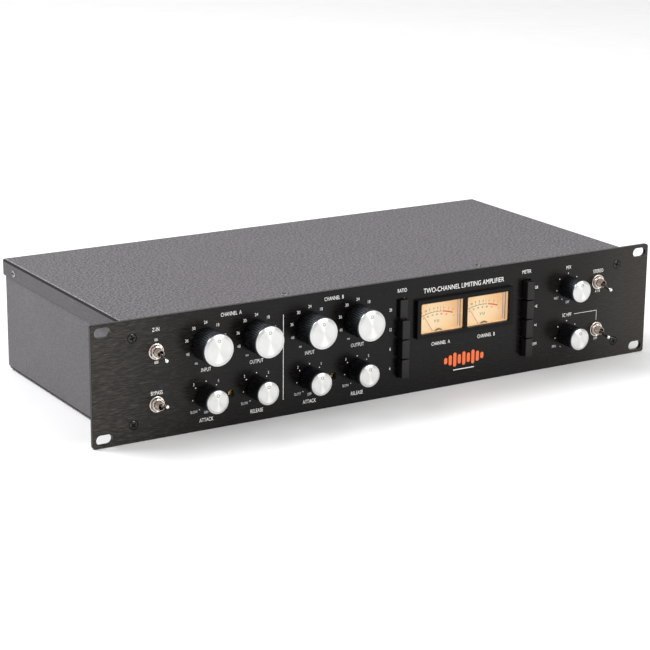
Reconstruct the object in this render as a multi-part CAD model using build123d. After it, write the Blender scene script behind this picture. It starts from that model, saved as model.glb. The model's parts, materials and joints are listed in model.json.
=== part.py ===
from build123d import *
import math
import os

# Two-channel limiting amplifier in a 19-inch rack case, two rack units tall.
# Frame: origin at the centre of the four rack slots, on the rear face of the front panel.
# +X is right seen from the front, +Y runs to the rear, +Z is up. Millimetres.

# ---- driving dimensions: rack panel ----
PANEL_W = 482.6
PANEL_H = 88.1
PANEL_T = 3.0
PANEL_CORNER_R = 2.2
PANEL_EDGE = 0.25
SLOT_SPACING_X = 465.1
SLOT_SPACING_Z = 76.2
SLOT_LENGTH = 12.4
SLOT_WIDTH = 7.2
PANEL_SCREW_X = 210.3
PANEL_SCREW_Z = 31.1
FACE = -PANEL_T
HOLE_GAP = 0.2

# ---- driving dimensions: screws (head radius, shank radius, length or rim depth) ----
PANEL_SINK = (3.6, 1.8, 0.2)
PANEL_SCREW = (3.1, 1.5, 9.0)
CASE_SINK = (3.2, 1.7, 0.1)
CASE_SCREW = (2.8, 1.5, 6.0)
SINK_REACH = 6.0
SCREW_SUNK = 0.15
SCREW_RIM = 0.2
CROSS_SIZE = 1.15
CROSS_DEPTH = 1.1
CROSS_ARM = 0.24
PILOT_R = 1.7
COVER_PILOT_R = 2.2
PILOT_DEPTH = 8.0

# ---- driving dimensions: sheet metal case ----
SHEET_T = 1.2
CASE_HALF_W = 216.4
CASE_BOTTOM_Z = -43.2
CASE_TOP_Z = 42.0
CASE_REAR_Y = 201.8
BEND_R = 2.2
COVER_HALF_W = 217.6
COVER_TOP_Z = 43.4
COVER_LIP_Z = 30.8
COVER_REAR_Y = 203.8
COVER_FRONT_Y = 0.2
FLANGE_W = 13.0
COVER_EDGE_R = 1.8
COVER_REAR_T = 1.3
COVER_GAP = 0.1
CORNER_NOTCH = 2.4
REAR_CUT = (190.0, 210.0)
RAIL_Z = 33.0
RAIL_DEPTH = 15.0
COVER_SCREW_X = 84.0
COVER_SCREW_Y = 8.2
SIDE_SCREW_Y = 184.0
LIP_SCREW_Z = 35.5
REAR_SCREW_X = (-180.0, 0.0, 180.0)

# ---- driving dimensions: controls ----
ROW_UP = 19.2
ROW_LOW = -18.9
CHANNEL_X = {"a": (-153.6, -113.1), "b": (-69.3, -28.8)}
RIGHT_KNOB_X = 163.0
LARGE = {"skirt_r": 11.7, "rim_r": 12.0, "cap_r": 11.4, "hollow_r": 8.4,
         "face_h": 20.0, "bevel": 1.9, "mark": 6.8}
SMALL = {"skirt_r": 8.6, "rim_r": 8.85, "cap_r": 8.4, "hollow_r": 6.9,
         "face_h": 18.0, "bevel": 1.5, "mark": 4.8}
RIM_DEPTH = 2.0
RIM_STEP = 0.3
RIM_ROUND = 0.2
SKIRT_EDGE = 0.4
SHAFT_GRIP = 0.01
SHAFT_END_GAP = 0.02
KNOB_GAP = 0.8
KNOB_HOLLOW = 4.4
CAP_PROUD = 1.5
CAP_SEAT = 0.8
BEVEL_DEPTH = 0.5
MARK_R = 1.2
MARK_DEPTH = 0.3
SHAFT_R = 3.0
BUSH_R = 3.5
BUSH_FRONT = -7.0
BUSH_EDGE = 0.3
POT_R = 8.25
POT_REAR = 11.8
POT_FLOOR_T = 1.5
POT_SHAFT_END = 2.0
POT_NUT = (10.0, 2.2)
TERMINAL_X = (-5.0, 0.0, 5.0)
TERMINAL_HALF_W = 0.6
TERMINAL_DROP = (2.4, 1.8)
WAFER_HALF_W = 7.0
WAFER_DROP = 2.6
WAFER_TOP = 4.0
WAFER_FRONT = 3.0
BEHIND_PANEL = 0.1
FIT = 0.05

TOGGLE_X = 192.2
TOGGLES = {"impedance": (-1, ROW_UP, -1), "bypass": (-1, ROW_LOW, 1),
           "stereo": (1, ROW_UP, -1), "sidechain": (1, ROW_LOW, -1)}
LEVER_TILT = 12.5
LEVER_PIVOT_Y = FACE - 4.0
LEVER_REACH = 12.1
LEVER_TIP_R = 1.45
LEVER_NECK_R = 1.0
LEVER_BALL_R = 1.9
TOGGLE_BUSH_R = 3.0
TOGGLE_BORE_R = 2.2
TOGGLE_BUSH_FRONT = FACE - 7.0
TOGGLE_BUSH_EDGE = 0.25
TOGGLE_BODY = (8.0, 13.0, 10.5)
TOGGLE_POCKET = (-1.5, 2.5)
TOGGLE_TERMINALS = (-4.7, 0.0, 4.7)
TOGGLE_TERMINAL = (2.0, 0.8)
WASHER_R = 5.9
WASHER_T = 0.8
WASHER_EDGE = 0.3
TOGGLE_NUT = (8.0, 2.0)
LEVER_TAIL_R = 0.8
LEVER_TAIL = 2.8
LEVER_NECK = 4.0

BANK_X = {"ratio": 9.6, "meter": 122.8}
BANK_NAMES = {"ratio": ("20", "12", "8", "4"), "meter": ("gr", "plus8", "plus4", "off")}
BUTTON_PITCH = 15.0
BUTTON_W = 6.5
BUTTON_H = 14.0
BUTTON_PROUD = 6.5
BUTTON_TRAVEL = 3.4
BUTTON_REAR = -0.5
BUTTON_EDGE = 0.35
STEM_W = 3.0
STEM_H = 4.0
STEM_REAR = 16.0
PRESSED = "ratio_20"
BANK_OPENING = (8.6, 60.6)
BANK_OPENING_R = 0.8
BANK_BODY = (11.0, 62.0)
BANK_FRONT = 5.0
BANK_REAR = 27.0
BANK_SLOT = (3.6, 4.6, 18.0)

TRIM_X = {"a": -133.4, "b": -48.9}
TRIM_Z = -20.5
TRIM_HOLE_R = 2.75
TRIM_BODY = 9.6
TRIM_BODY_FRONT = 6.0
TRIM_WELL_R = 2.6
TRIM_WELL_REAR = 9.0
TRIM_SCREW_R = 2.3
TRIM_SCREW_Y = (1.2, 8.7)
TRIM_SLOT = (5.0, 0.7, 2.0)

# ---- driving dimensions: meters ----
METER_X = {"a": 44.25, "b": 85.85}
METER_MID_X = 65.05
METER_MID_Z = 12.3
BEZEL_W = 87.1
BEZEL_H = 29.9
BEZEL_PROUD = 3.5
WINDOW_W = 39.0
WINDOW_H = 23.4
LENS_W = 40.8
LENS_H = 25.8
LENS_T = 1.5
LENS_FRONT = -3.5
METER_CUT = (83.0, 26.4)
METER_CUT_R = 1.5
BEZEL_CORNER_R = 0.8
BEZEL_EDGE = 0.3
WINDOW_R = 1.0
WINDOW_FRONT = -10.0
WINDOW_REAR = 2.0
COLLAR_OPENING = (0.6, 0.8)
COLLAR_R = 1.5
LENS_R = 1.2
LENS_GAP = 0.02
CASE_REAR = 24.0
CASE_W = 41.2
CASE_BASE_Z = -14.0
CASE_ROOF_Z = 26.2
CASE_WALL = 1.2
CASE_FRONT_T = 0.9
DIAL_Y = 2.8
DIAL_T = 0.8
NEEDLE_Y = 1.6
NEEDLE_T = 0.3
NEEDLE_LENGTH = 22.9
NEEDLE_REST = 33.0
NEEDLE_HALF_W = 0.25
NEEDLE_TAIL = 5.0
HUB_R = 1.2
HUB_FRONT = 0.2
PIVOT_Z = -6.5
DIAL_FOOT_Z = -1.5
DIAL_GAP = 0.1
HUMP_R = 4.05
HUMP_Z = -1.45
COIL_R = 4.0
COIL_SPAN = (8.0, 18.0)
COIL_GAP = 0.4
MAGNET_HALF_W = 9.0
MAGNET_Z = (-5.4, 6.5)
MAGNET_WALL = (0.5, 3.0)
MAGNET_FLOOR = 1.0

# ---- driving dimensions: rear and inside ----
XLR_X = {"in_a": -185.0, "out_a": -150.0, "in_b": -55.0, "out_b": -20.0}
JACK_X = (-116.0, -98.0, 14.0, 32.0)
INLET_X = 165.0
XLR_BODY_R = 11.6
XLR_BORE_R = 9.6
XLR_INNER_R = 9.3
XLR_MOUTH = 5.0
XLR_FLANGE = (26.0, 31.0, 2.0)
XLR_FLANGE_R = 2.5
XLR_SCREW = (-9.5, 12.0)
XLR_DEPTH = 23.0
XLR_INNER_DEPTH = 18.0
XLR_INSERT_R = 7.6
XLR_CONTACT_ANGLES = (30, 150, 270)
XLR_CONTACT_CIRCLE = 4.1
XLR_CONTACT_BORE_R = 1.35
XLR_PIN_R = 1.2
XLR_ROOT = 0.5
XLR_BORE_FLOOR = 17.0
FLANGE_FACE = CASE_REAR_Y + XLR_FLANGE[2]
JACK_BORE_R = 3.2
JACK_BUSH_R = 4.7
JACK_DEPTH = 26.0
JACK_PROUD = 3.4
JACK_HALF = 7.0
JACK_END = 3.0
JACK_WASHER = (8.0, 0.6)
JACK_NUT = (12.7, 2.2)
INLET_FLANGE = (50.0, 22.6, 4.0)
INLET_BODY = (26.8, 19.6, 24.0)
INLET_MOUTH = (22.6, 15.4, 4.0)
INLET_WALL_CUT = (13.7, 10.1)
INLET_MOUTH_DEPTH = 18.0
INLET_PINS = ((-7.0, -1.0), (7.0, -1.0), (0.0, 3.0))
INLET_PIN = (1.0, 2.0)
INLET_PIN_SET_BACK = 5.5
INLET_SCREW = 20.0
BOARD_Z = -34.0
BOARD_T = 1.6
BOARD = (-200.0, 95.0, 40.0, 170.0)
BOARD_HOLE_R = 1.6
CONTROL_BOARD_Y = 16.0
CONTROL_BOARD_HALF_H = 34.0
CONTROL_BOARDS_X = ((-204.0, -16.0), (150.0, 204.0))
BANK_BOARD = (18.0, 66.0)
STANDOFFS = [(x, y) for x in (-195.0, -50.0, 90.0) for y in (45.0, 165.0)]
STANDOFF_R = 3.0
HEAT_SINK = (30.0, 60.0, 26.0)
SINK_SPINE = (44.0, 2.0)
FINS = 8
FIN_PITCH = 6.0
FIN_T = 1.6
FIN_Y = (1.5, 13.0)
BIG_CANS = {"x": 36.0, "pitch": 20.0, "count": 3, "y": 105.0, "height": 30.0, "r": 8.0}
SMALL_CANS = {"x": -180.0, "pitch": 24.0, "count": 8, "y": 110.0, "height": 16.0, "r": 5.0}
RELAYS = {"x": -186.0, "pitch": 36.0, "count": 5, "y": 126.0, "size": (16.0, 7.0, 11.0)}
CHIPS = {"x": -184.0, "pitch": 30.0, "count": 8, "y": 145.0, "size": (10.0, 8.0, 4.0)}
TOROID = (150.0, 95.0, 42.0, 38.0)
TOROID_ROUND = 9.0
TOROID_BORE_R = 13.0
PAD_T = 1.5
PAD_INSET = 4.0
DISH_R = 20.0
DISH_T = 1.5
TOROID_BOLT_R = 3.0
TOROID_HEAD = (5.5, 4.0)
AUDIO_CANS = {"x": -189.0, "pitch": 45.0, "count": 4, "y": 58.0, "size": (28.0, 26.0, 30.0)}
AUDIO_CAN_R = 2.5

NODES = {}


# ---- small shape helpers ----
def block(x0, x1, y0, y1, z0, z1):
    """Axis-aligned block between two corners."""
    middle = Pos((x0 + x1) / 2, (y0 + y1) / 2, (z0 + z1) / 2)
    return middle * Box(x1 - x0, y1 - y0, z1 - z0)


def rod(x, z, y0, y1, r):
    """Round bar along Y."""
    return Pos(x, (y0 + y1) / 2, z) * Rot(90, 0, 0) * Cylinder(r, y1 - y0)


def post(x, y, z0, z1, r):
    """Round bar along Z."""
    return Pos(x, y, (z0 + z1) / 2) * Cylinder(r, z1 - z0)


def slab(sketch, y0, y1):
    """A sketch drawn as seen from the front, made solid between two Y planes."""
    return extrude(Plane.XZ.offset(-y1) * sketch, y1 - y0)


def nut(x, z, y0, y1, across_flats, bore_r):
    """Hexagon nut with its axis along Y."""
    across_corners_r = across_flats / math.sqrt(3)
    outline = Pos(x, z) * (RegularPolygon(across_corners_r, 6) - Circle(bore_r))
    return slab(outline, y0, y1)


def turned(x, z, profile):
    """Solid of revolution about a Y axis, from (radius, y) points."""
    face = make_face(Polyline(*[(r, y) for r, y in profile], close=True))
    return Pos(x, 0, z) * revolve(face, Axis.Y)


def countersunk(head_r, shank_r, recess, reach):
    """Countersunk tool or screw blank: face at z 0, pointing down -Z."""
    cone_depth = head_r - shank_r
    points = [(0, 0), (head_r, 0), (head_r, -recess), (shank_r, -recess - cone_depth),
              (shank_r, -reach), (0, -reach)]
    face = Plane.XZ * make_face(Polyline(*points, close=True))
    return revolve(face, Axis.Z)


def cross_recess(size, depth):
    """Cross-head recess, cut into a screw face at z 0."""
    slot = Box(size, size * CROSS_ARM, depth * 2)
    return slot + Rot(0, 0, 90) * slot


def screw(place, sizes):
    """Countersunk cross-head screw, its face just below the place's plane."""
    head_r, shank_r, reach = sizes
    blank = countersunk(head_r, shank_r, SCREW_RIM, reach)
    blank -= cross_recess(head_r * CROSS_SIZE, CROSS_DEPTH)
    return place * Pos(0, 0, -SCREW_SUNK) * blank


def centred(x, z, width, height, y0, y1):
    """Block centred on (x, z) between two Y planes."""
    return block(x - width / 2, x + width / 2, y0, y1, z - height / 2, z + height / 2)


def row_of_posts(row, base):
    """Evenly spaced round cans standing on a board."""
    return [post(row["x"] + i * row["pitch"], row["y"], base, base + row["height"], row["r"])
            for i in range(row["count"])]


def row_of_blocks(row, base):
    """Evenly spaced blocks standing on a board."""
    width, depth, height = row["size"]
    lefts = [row["x"] + i * row["pitch"] for i in range(row["count"])]
    return [block(x, x + width, row["y"], row["y"] + depth, base, base + height) for x in lefts]


def add(name, *solids):
    """Keep one or more separate solids as a named node."""
    NODES[name] = solids[0] if len(solids) == 1 else Compound(children=list(solids))


# ---- places shared by more than one piece ----
def knob_places():
    """Name, x, z and size of every rotary control."""
    places = []
    for channel, (left, right) in CHANNEL_X.items():
        places.append(("input_" + channel, left, ROW_UP, LARGE))
        places.append(("output_" + channel, right, ROW_UP, LARGE))
        places.append(("attack_" + channel, left, ROW_LOW, SMALL))
        places.append(("release_" + channel, right, ROW_LOW, SMALL))
    places.append(("mix", RIGHT_KNOB_X, ROW_UP, SMALL))
    places.append(("filter", RIGHT_KNOB_X, ROW_LOW, SMALL))
    return places


def button_places():
    """Name, x and z of every push button, top to bottom in each bank."""
    places = []
    for bank, labels in BANK_NAMES.items():
        for row, label in enumerate(labels):
            z = BUTTON_PITCH * (1.5 - row)
            places.append((bank + "_" + label, BANK_X[bank], z))
    return places


def panel_screw_places():
    """Face of each panel screw, pointing forward."""
    return [Pos(sx * PANEL_SCREW_X, FACE, sz * PANEL_SCREW_Z) * Rot(90, 0, 0)
            for sx in (-1, 1) for sz in (-1, 1)]


def connector_screw_places():
    """Face of each screw that holds a rear connector's flange, pointing back."""
    corners = [(x + s * XLR_SCREW[0], s * XLR_SCREW[1]) for x in XLR_X.values() for s in (-1, 1)]
    corners += [(INLET_X + s * INLET_SCREW, 0) for s in (-1, 1)]
    return [Pos(x, FLANGE_FACE, z) * Rot(-90, 0, 0) for x, z in corners]


def cover_screw_places():
    """Face of each cover screw: two on top, one each side, three at the rear."""
    top = [Pos(s * COVER_SCREW_X, COVER_SCREW_Y, COVER_TOP_Z) for s in (-1, 1)]
    sides = [Pos(s * COVER_HALF_W, SIDE_SCREW_Y, LIP_SCREW_Z) * Rot(0, s * 90, 0) for s in (-1, 1)]
    rear = [Pos(x, COVER_REAR_Y, LIP_SCREW_Z) * Rot(-90, 0, 0) for x in REAR_SCREW_X]
    return top + sides + rear


# ---- front panel and case ----
def front_panel():
    """Flat plate with its rack slots, control holes, button openings and meter cut-out."""
    outline = RectangleRounded(PANEL_W, PANEL_H, PANEL_CORNER_R)
    slot = SlotOverall(SLOT_LENGTH, SLOT_WIDTH)
    for sx in (-1, 1):
        for sz in (-1, 1):
            outline -= Pos(sx * SLOT_SPACING_X / 2, sz * SLOT_SPACING_Z / 2) * slot
    for _, x, z, _ in knob_places():
        outline -= Pos(x, z) * Circle(BUSH_R + HOLE_GAP)
    for side, z, _ in TOGGLES.values():
        outline -= Pos(side * TOGGLE_X, z) * Circle(TOGGLE_BUSH_R + HOLE_GAP)
    for x in BANK_X.values():
        outline -= Pos(x, 0) * RectangleRounded(*BANK_OPENING, BANK_OPENING_R)
    for x in TRIM_X.values():
        outline -= Pos(x, TRIM_Z) * Circle(TRIM_HOLE_R)
    outline -= Pos(METER_MID_X, METER_MID_Z) * RectangleRounded(*METER_CUT, METER_CUT_R)
    panel = slab(outline, FACE, 0)
    for place in panel_screw_places():
        panel -= place * countersunk(*PANEL_SINK, SINK_REACH)
    front_edges = panel.faces().sort_by(Axis.Y)[0].outer_wire().edges()
    return chamfer(front_edges, PANEL_EDGE)


def rear_window(x, half_w, half_h):
    """Square-cornered cut-out in the rear wall, hidden by a connector's flange or washer."""
    return block(x - half_w, x + half_w, *REAR_CUT, -half_h, half_h)


def case_cuts():
    """Pilot holes for every screw, and the rear wall's square openings."""
    pilots = [place * Pos(0, 0, -PILOT_DEPTH / 2) * Cylinder(PILOT_R, PILOT_DEPTH)
              for place in panel_screw_places() + connector_screw_places()]
    pilots += [place * Pos(0, 0, -PILOT_DEPTH / 2) * Cylinder(COVER_PILOT_R, PILOT_DEPTH)
               for place in cover_screw_places()]
    windows = [rear_window(x, XLR_BODY_R + HOLE_GAP, XLR_BODY_R + HOLE_GAP) for x in XLR_X.values()]
    windows += [rear_window(x, JACK_BUSH_R + HOLE_GAP, JACK_BUSH_R + HOLE_GAP) for x in JACK_X]
    windows.append(rear_window(INLET_X, *INLET_WALL_CUT))
    return pilots + windows


def chassis():
    """Folded tray: floor, sides and rear, with front flanges, two cross rails and board posts."""
    shell = block(-CASE_HALF_W, CASE_HALF_W, 0, CASE_REAR_Y, CASE_BOTTOM_Z, CASE_TOP_Z)
    shell = fillet(shell.edges().filter_by(Axis.Y).group_by(Axis.Z)[0], BEND_R)
    inside_x = CASE_HALF_W - SHEET_T
    floor_z = CASE_BOTTOM_Z + SHEET_T
    rear_y = CASE_REAR_Y - SHEET_T
    room = block(-inside_x, inside_x, -1, rear_y, floor_z, CASE_TOP_Z + 1)
    room = fillet(room.edges().filter_by(Axis.Y).group_by(Axis.Z)[0], BEND_R - SHEET_T)
    shell -= room
    for side in (-1, 1):
        inner, outer = sorted((side * (inside_x - FLANGE_W), side * inside_x))
        shell += block(inner, outer, 0, SHEET_T, floor_z, CASE_TOP_Z)
        corner = Pos(side * CASE_HALF_W, CASE_REAR_Y, CASE_BOTTOM_Z)
        shell -= corner * Box(2 * CORNER_NOTCH, 2 * CORNER_NOTCH, 2 * CORNER_NOTCH)
    shell += block(-inside_x, inside_x, 0, SHEET_T, RAIL_Z, CASE_TOP_Z)
    shell += block(-inside_x, inside_x, 0, RAIL_DEPTH, CASE_TOP_Z - SHEET_T, CASE_TOP_Z)
    shell += block(-inside_x, inside_x, rear_y - RAIL_DEPTH, rear_y, CASE_TOP_Z - SHEET_T, CASE_TOP_Z)
    for x, y in STANDOFFS:
        shell += post(x, y, floor_z, BOARD_Z, STANDOFF_R)
    for cut in case_cuts():
        shell -= cut
    return shell


def top_cover():
    """Folded lid with side and rear lips, countersunk for its screws."""
    lid = block(-COVER_HALF_W, COVER_HALF_W, COVER_FRONT_Y, COVER_REAR_Y, COVER_LIP_Z, COVER_TOP_Z)
    long_edges = lid.edges().filter_by(Axis.Y).group_by(Axis.Z)[-1]
    rear_edge = lid.edges().filter_by(Axis.X).group_by(Axis.Z)[-1].sort_by(Axis.Y)[-1]
    lid = fillet(long_edges + [rear_edge], COVER_EDGE_R)
    inside_x = CASE_HALF_W + COVER_GAP
    lid -= block(-inside_x, inside_x, -1, COVER_REAR_Y - COVER_REAR_T, COVER_LIP_Z - 1, COVER_TOP_Z - SHEET_T)
    return screw_sunk(lid, cover_screw_places())


# ---- knobs ----
def knob_skirt(x, z, size):
    """Black knob body: hollow at the rear for the nut, seat in front for the cap."""
    back = FACE - KNOB_GAP
    seat = FACE - size["face_h"] + CAP_PROUD
    rim_y = seat + RIM_DEPTH
    cap_fit = size["cap_r"] + FIT
    bore = SHAFT_R + SHAFT_GRIP
    profile = [(size["hollow_r"], back), (size["skirt_r"] - SKIRT_EDGE, back),
               (size["skirt_r"], back - SKIRT_EDGE), (size["skirt_r"], rim_y),
               (size["rim_r"], rim_y - RIM_STEP), (size["rim_r"], seat + RIM_ROUND),
               (size["rim_r"] - RIM_ROUND, seat), (cap_fit, seat), (cap_fit, seat + CAP_SEAT),
               (bore, seat + CAP_SEAT), (bore, back - KNOB_HOLLOW), (size["hollow_r"], back - KNOB_HOLLOW)]
    return turned(x, z, profile)


def knob_cap(x, z, size):
    """Aluminium cap with a bevelled edge and a dimple that marks the setting."""
    front = FACE - size["face_h"]
    base = front + CAP_PROUD + CAP_SEAT
    profile = [(0, base), (size["cap_r"], base), (size["cap_r"], front + BEVEL_DEPTH),
               (size["cap_r"] - size["bevel"], front), (0, front)]
    mark = rod(x, z + size["mark"], front - 1, front + MARK_DEPTH, MARK_R)
    return turned(x, z, profile) - mark


def knob_shaft(x, z, size):
    """Round shaft from inside the potentiometer to behind the cap."""
    front = FACE - size["face_h"] + CAP_PROUD + CAP_SEAT + SHAFT_END_GAP
    return rod(x, z, front, POT_REAR - POT_SHAFT_END, SHAFT_R)


def potentiometer(x, z):
    """Round can with a threaded bush through the panel, bored for the shaft."""
    bore = SHAFT_R + FIT
    floor_y = POT_REAR - POT_FLOOR_T
    profile = [(bore, BUSH_FRONT), (BUSH_R - BUSH_EDGE, BUSH_FRONT), (BUSH_R, BUSH_FRONT + BUSH_EDGE),
               (BUSH_R, BEHIND_PANEL), (POT_R, BEHIND_PANEL), (POT_R, POT_REAR), (0, POT_REAR),
               (0, floor_y), (bore, floor_y)]
    can = turned(x, z, profile)
    foot = z - POT_R
    front = POT_REAR - WAFER_FRONT
    low, high = TERMINAL_DROP
    for dx in TERMINAL_X:
        left, right = x + dx - TERMINAL_HALF_W, x + dx + TERMINAL_HALF_W
        can += block(left, right, front, CONTROL_BOARD_Y, foot - low, foot - high)
    return can + block(x - WAFER_HALF_W, x + WAFER_HALF_W, front, floor_y, foot - WAFER_DROP, z - WAFER_TOP)


def make_knobs():
    """Every rotary control: skirt, cap with its shaft, potentiometer and nut."""
    pots = []
    nuts = []
    for name, x, z, size in knob_places():
        add(name + "_knob", knob_skirt(x, z, size))
        add(name + "_cap", knob_cap(x, z, size), knob_shaft(x, z, size))
        pots.append(potentiometer(x, z))
        nuts.append(nut(x, z, FACE - POT_NUT[1], FACE, POT_NUT[0], BUSH_R + FIT))
    add("potentiometers", *pots)
    add("pot_nuts", *nuts)


# ---- toggle switches ----
def toggle_body(x, z):
    """Switch case with a threaded bush, hollow where the lever rocks."""
    width, height, rear = TOGGLE_BODY
    root = BEHIND_PANEL + 0.4
    profile = [(TOGGLE_BORE_R, TOGGLE_BUSH_FRONT), (TOGGLE_BUSH_R - TOGGLE_BUSH_EDGE, TOGGLE_BUSH_FRONT),
               (TOGGLE_BUSH_R, TOGGLE_BUSH_FRONT + TOGGLE_BUSH_EDGE), (TOGGLE_BUSH_R, root),
               (TOGGLE_BORE_R, root)]
    body = centred(x, z, width, height, BEHIND_PANEL, rear) + turned(x, z, profile)
    body -= rod(x, z, *TOGGLE_POCKET, TOGGLE_BORE_R)
    for dz in TOGGLE_TERMINALS:
        body += centred(x, z + dz, *TOGGLE_TERMINAL, rear - 0.5, CONTROL_BOARD_Y)
    return body


def toggle_lever(x, z, direction):
    """Bat lever on its pivot ball, tilted up (1) or down (-1)."""
    reach = LEVER_REACH
    bat = [(0, LEVER_TAIL), (LEVER_TAIL_R, LEVER_TAIL), (LEVER_TAIL_R, 0), (LEVER_NECK_R, 0),
           (LEVER_NECK_R, -LEVER_NECK), (LEVER_TIP_R, -reach), (0, -reach)]
    lever = revolve(make_face(Polyline(*bat, close=True)), Axis.Y)
    lever += Sphere(LEVER_BALL_R)
    lever += Pos(0, -reach, 0) * Sphere(LEVER_TIP_R)
    return Pos(x, LEVER_PIVOT_Y, z) * Rot(-direction * LEVER_TILT, 0, 0) * lever


def toggle_fixings(x, z):
    """Round washer and hexagon nut that hold a switch to the panel."""
    bore = TOGGLE_BUSH_R + FIT
    seat = FACE - WASHER_T
    washer = [(bore, FACE), (WASHER_R, FACE), (WASHER_R, seat + WASHER_EDGE), (WASHER_R - WASHER_EDGE, seat),
              (bore, seat)]
    flats, height = TOGGLE_NUT
    return [turned(x, z, washer), nut(x, z, seat - height, seat, flats, bore)]


def make_toggles():
    """Four toggle switches with their levers and fixings."""
    bodies = []
    fixings = []
    for name, (side, z, direction) in TOGGLES.items():
        x = side * TOGGLE_X
        add(name + "_lever", toggle_lever(x, z, direction))
        bodies.append(toggle_body(x, z))
        fixings += toggle_fixings(x, z)
    add("toggle_switches", *bodies)
    add("toggle_nuts", *fixings)


# ---- push buttons ----
def push_button(x, z, pushed):
    """Button with its stem, at its released place or pushed in."""
    front = FACE - BUTTON_PROUD
    cap = centred(x, z, BUTTON_W, BUTTON_H, front, BUTTON_REAR)
    cap = chamfer(cap.faces().sort_by(Axis.Y)[0].edges(), BUTTON_EDGE)
    stem = centred(x, z, STEM_W, STEM_H, BUTTON_REAR, STEM_REAR)
    return Pos(0, BUTTON_TRAVEL if pushed else 0, 0) * (cap + stem)


def switch_bank(x):
    """Block of four latching switches with a slot for each stem."""
    bank = centred(x, 0, *BANK_BODY, BANK_FRONT, BANK_REAR)
    width, height, depth = BANK_SLOT
    for row in range(4):
        z = BUTTON_PITCH * (1.5 - row)
        bank -= centred(x, z, width, height, BANK_FRONT - 1, BANK_FRONT + depth)
    return bank


def make_buttons():
    """Eight buttons and the two switch banks behind them."""
    for name, x, z in button_places():
        add(name + "_button", push_button(x, z, name == PRESSED))
    add("button_switch_banks", *[switch_bank(x) for x in BANK_X.values()])


# ---- trimmers ----
def make_trimmers():
    """Two slotted adjusters, each in a square body behind its panel hole."""
    bodies = []
    width, height, depth = TRIM_SLOT
    for channel, x in TRIM_X.items():
        body = centred(x, TRIM_Z, TRIM_BODY, TRIM_BODY, TRIM_BODY_FRONT, CONTROL_BOARD_Y)
        bodies.append(body - rod(x, TRIM_Z, TRIM_BODY_FRONT - 1, TRIM_WELL_REAR, TRIM_WELL_R))
        slot = centred(x, TRIM_Z, width, height, 0, depth)
        add("trim_" + channel + "_screw", rod(x, TRIM_Z, *TRIM_SCREW_Y, TRIM_SCREW_R) - slot)
    add("trimmers", *bodies)


# ---- meters ----
def meter_bezel():
    """Raised frame round both windows, recessed behind for the lenses."""
    middle = Pos(METER_MID_X, METER_MID_Z)
    outline = RectangleRounded(BEZEL_W, BEZEL_H, BEZEL_CORNER_R)
    frame = slab(middle * outline, FACE - BEZEL_PROUD, FACE)
    frame = chamfer(frame.faces().sort_by(Axis.Y)[0].edges(), BEZEL_EDGE)
    window = RectangleRounded(WINDOW_W, WINDOW_H, WINDOW_R)
    for x in METER_X.values():
        frame -= slab(Pos(x, METER_MID_Z) * window, WINDOW_FRONT, 0)
    return frame - slab(middle * Rectangle(*METER_CUT), LENS_FRONT - LENS_GAP, 0)


def meter_case(x):
    """Box behind the panel, a collar through it, and a round hump that hides the needle's pivot."""
    left, right = x - CASE_W / 2, x + CASE_W / 2
    middle = Pos(x, METER_MID_Z)
    inner_y = BEHIND_PANEL + CASE_FRONT_T
    extra_h, corner_r = COLLAR_OPENING
    case = block(left, right, BEHIND_PANEL, CASE_REAR, CASE_BASE_Z, CASE_ROOF_Z)
    case += slab(middle * RectangleRounded(LENS_W, LENS_H, COLLAR_R), LENS_FRONT + LENS_T, inner_y)
    case -= block(left + CASE_WALL, right - CASE_WALL, inner_y, CASE_REAR - CASE_WALL,
                  CASE_BASE_Z + CASE_WALL, CASE_ROOF_Z - CASE_WALL)
    opening = RectangleRounded(WINDOW_W, WINDOW_H + extra_h, corner_r)
    case -= slab(middle * opening, WINDOW_FRONT, WINDOW_REAR)
    return case + slab(Pos(x, HUMP_Z) * Circle(HUMP_R), BEHIND_PANEL, inner_y)


def meter_lens(x):
    """Clear cover, a little larger than its window."""
    outline = RectangleRounded(LENS_W, LENS_H, LENS_R)
    return slab(Pos(x, METER_MID_Z) * outline, LENS_FRONT, LENS_FRONT + LENS_T)


def meter_dial(x):
    """Flat dial plate inside the meter case."""
    half_w = CASE_W / 2 - CASE_WALL - DIAL_GAP
    top = CASE_ROOF_Z - CASE_WALL - DIAL_GAP
    return block(x - half_w, x + half_w, DIAL_Y, DIAL_Y + DIAL_T, DIAL_FOOT_Z, top)


def meter_movement(x):
    """Magnet block bored for the moving coil."""
    front, rear = COIL_SPAN
    low, high = MAGNET_Z
    magnet = block(x - MAGNET_HALF_W, x + MAGNET_HALF_W, front - MAGNET_WALL[0], rear + MAGNET_WALL[1],
                   PIVOT_Z + low, PIVOT_Z + high)
    return magnet - rod(x, PIVOT_Z, front - 1, rear + MAGNET_FLOOR, COIL_R + COIL_GAP)


def needle(x):
    """Pointer blade, hub and moving coil, resting at the left stop."""
    blade = block(-NEEDLE_HALF_W, NEEDLE_HALF_W, NEEDLE_Y, NEEDLE_Y + NEEDLE_T, -NEEDLE_TAIL, NEEDLE_LENGTH)
    hub = rod(0, 0, NEEDLE_Y - HUB_FRONT, COIL_SPAN[0], HUB_R)
    coil = rod(0, 0, *COIL_SPAN, COIL_R)
    return Pos(x, 0, PIVOT_Z) * Rot(0, -NEEDLE_REST, 0) * (blade + hub + coil)


def make_meters():
    """Bezel, lenses, lit cases, dials, movements and needles of both meters."""
    places = METER_X.values()
    add("meter_bezel", meter_bezel())
    add("meter_lenses", *[meter_lens(x) for x in places])
    add("meter_cases", *[meter_case(x) for x in places])
    add("meter_dials", *[meter_dial(x) for x in places])
    add("meter_movements", *[meter_movement(x) for x in places])
    for channel, x in METER_X.items():
        add("needle_" + channel, needle(x))


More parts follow.
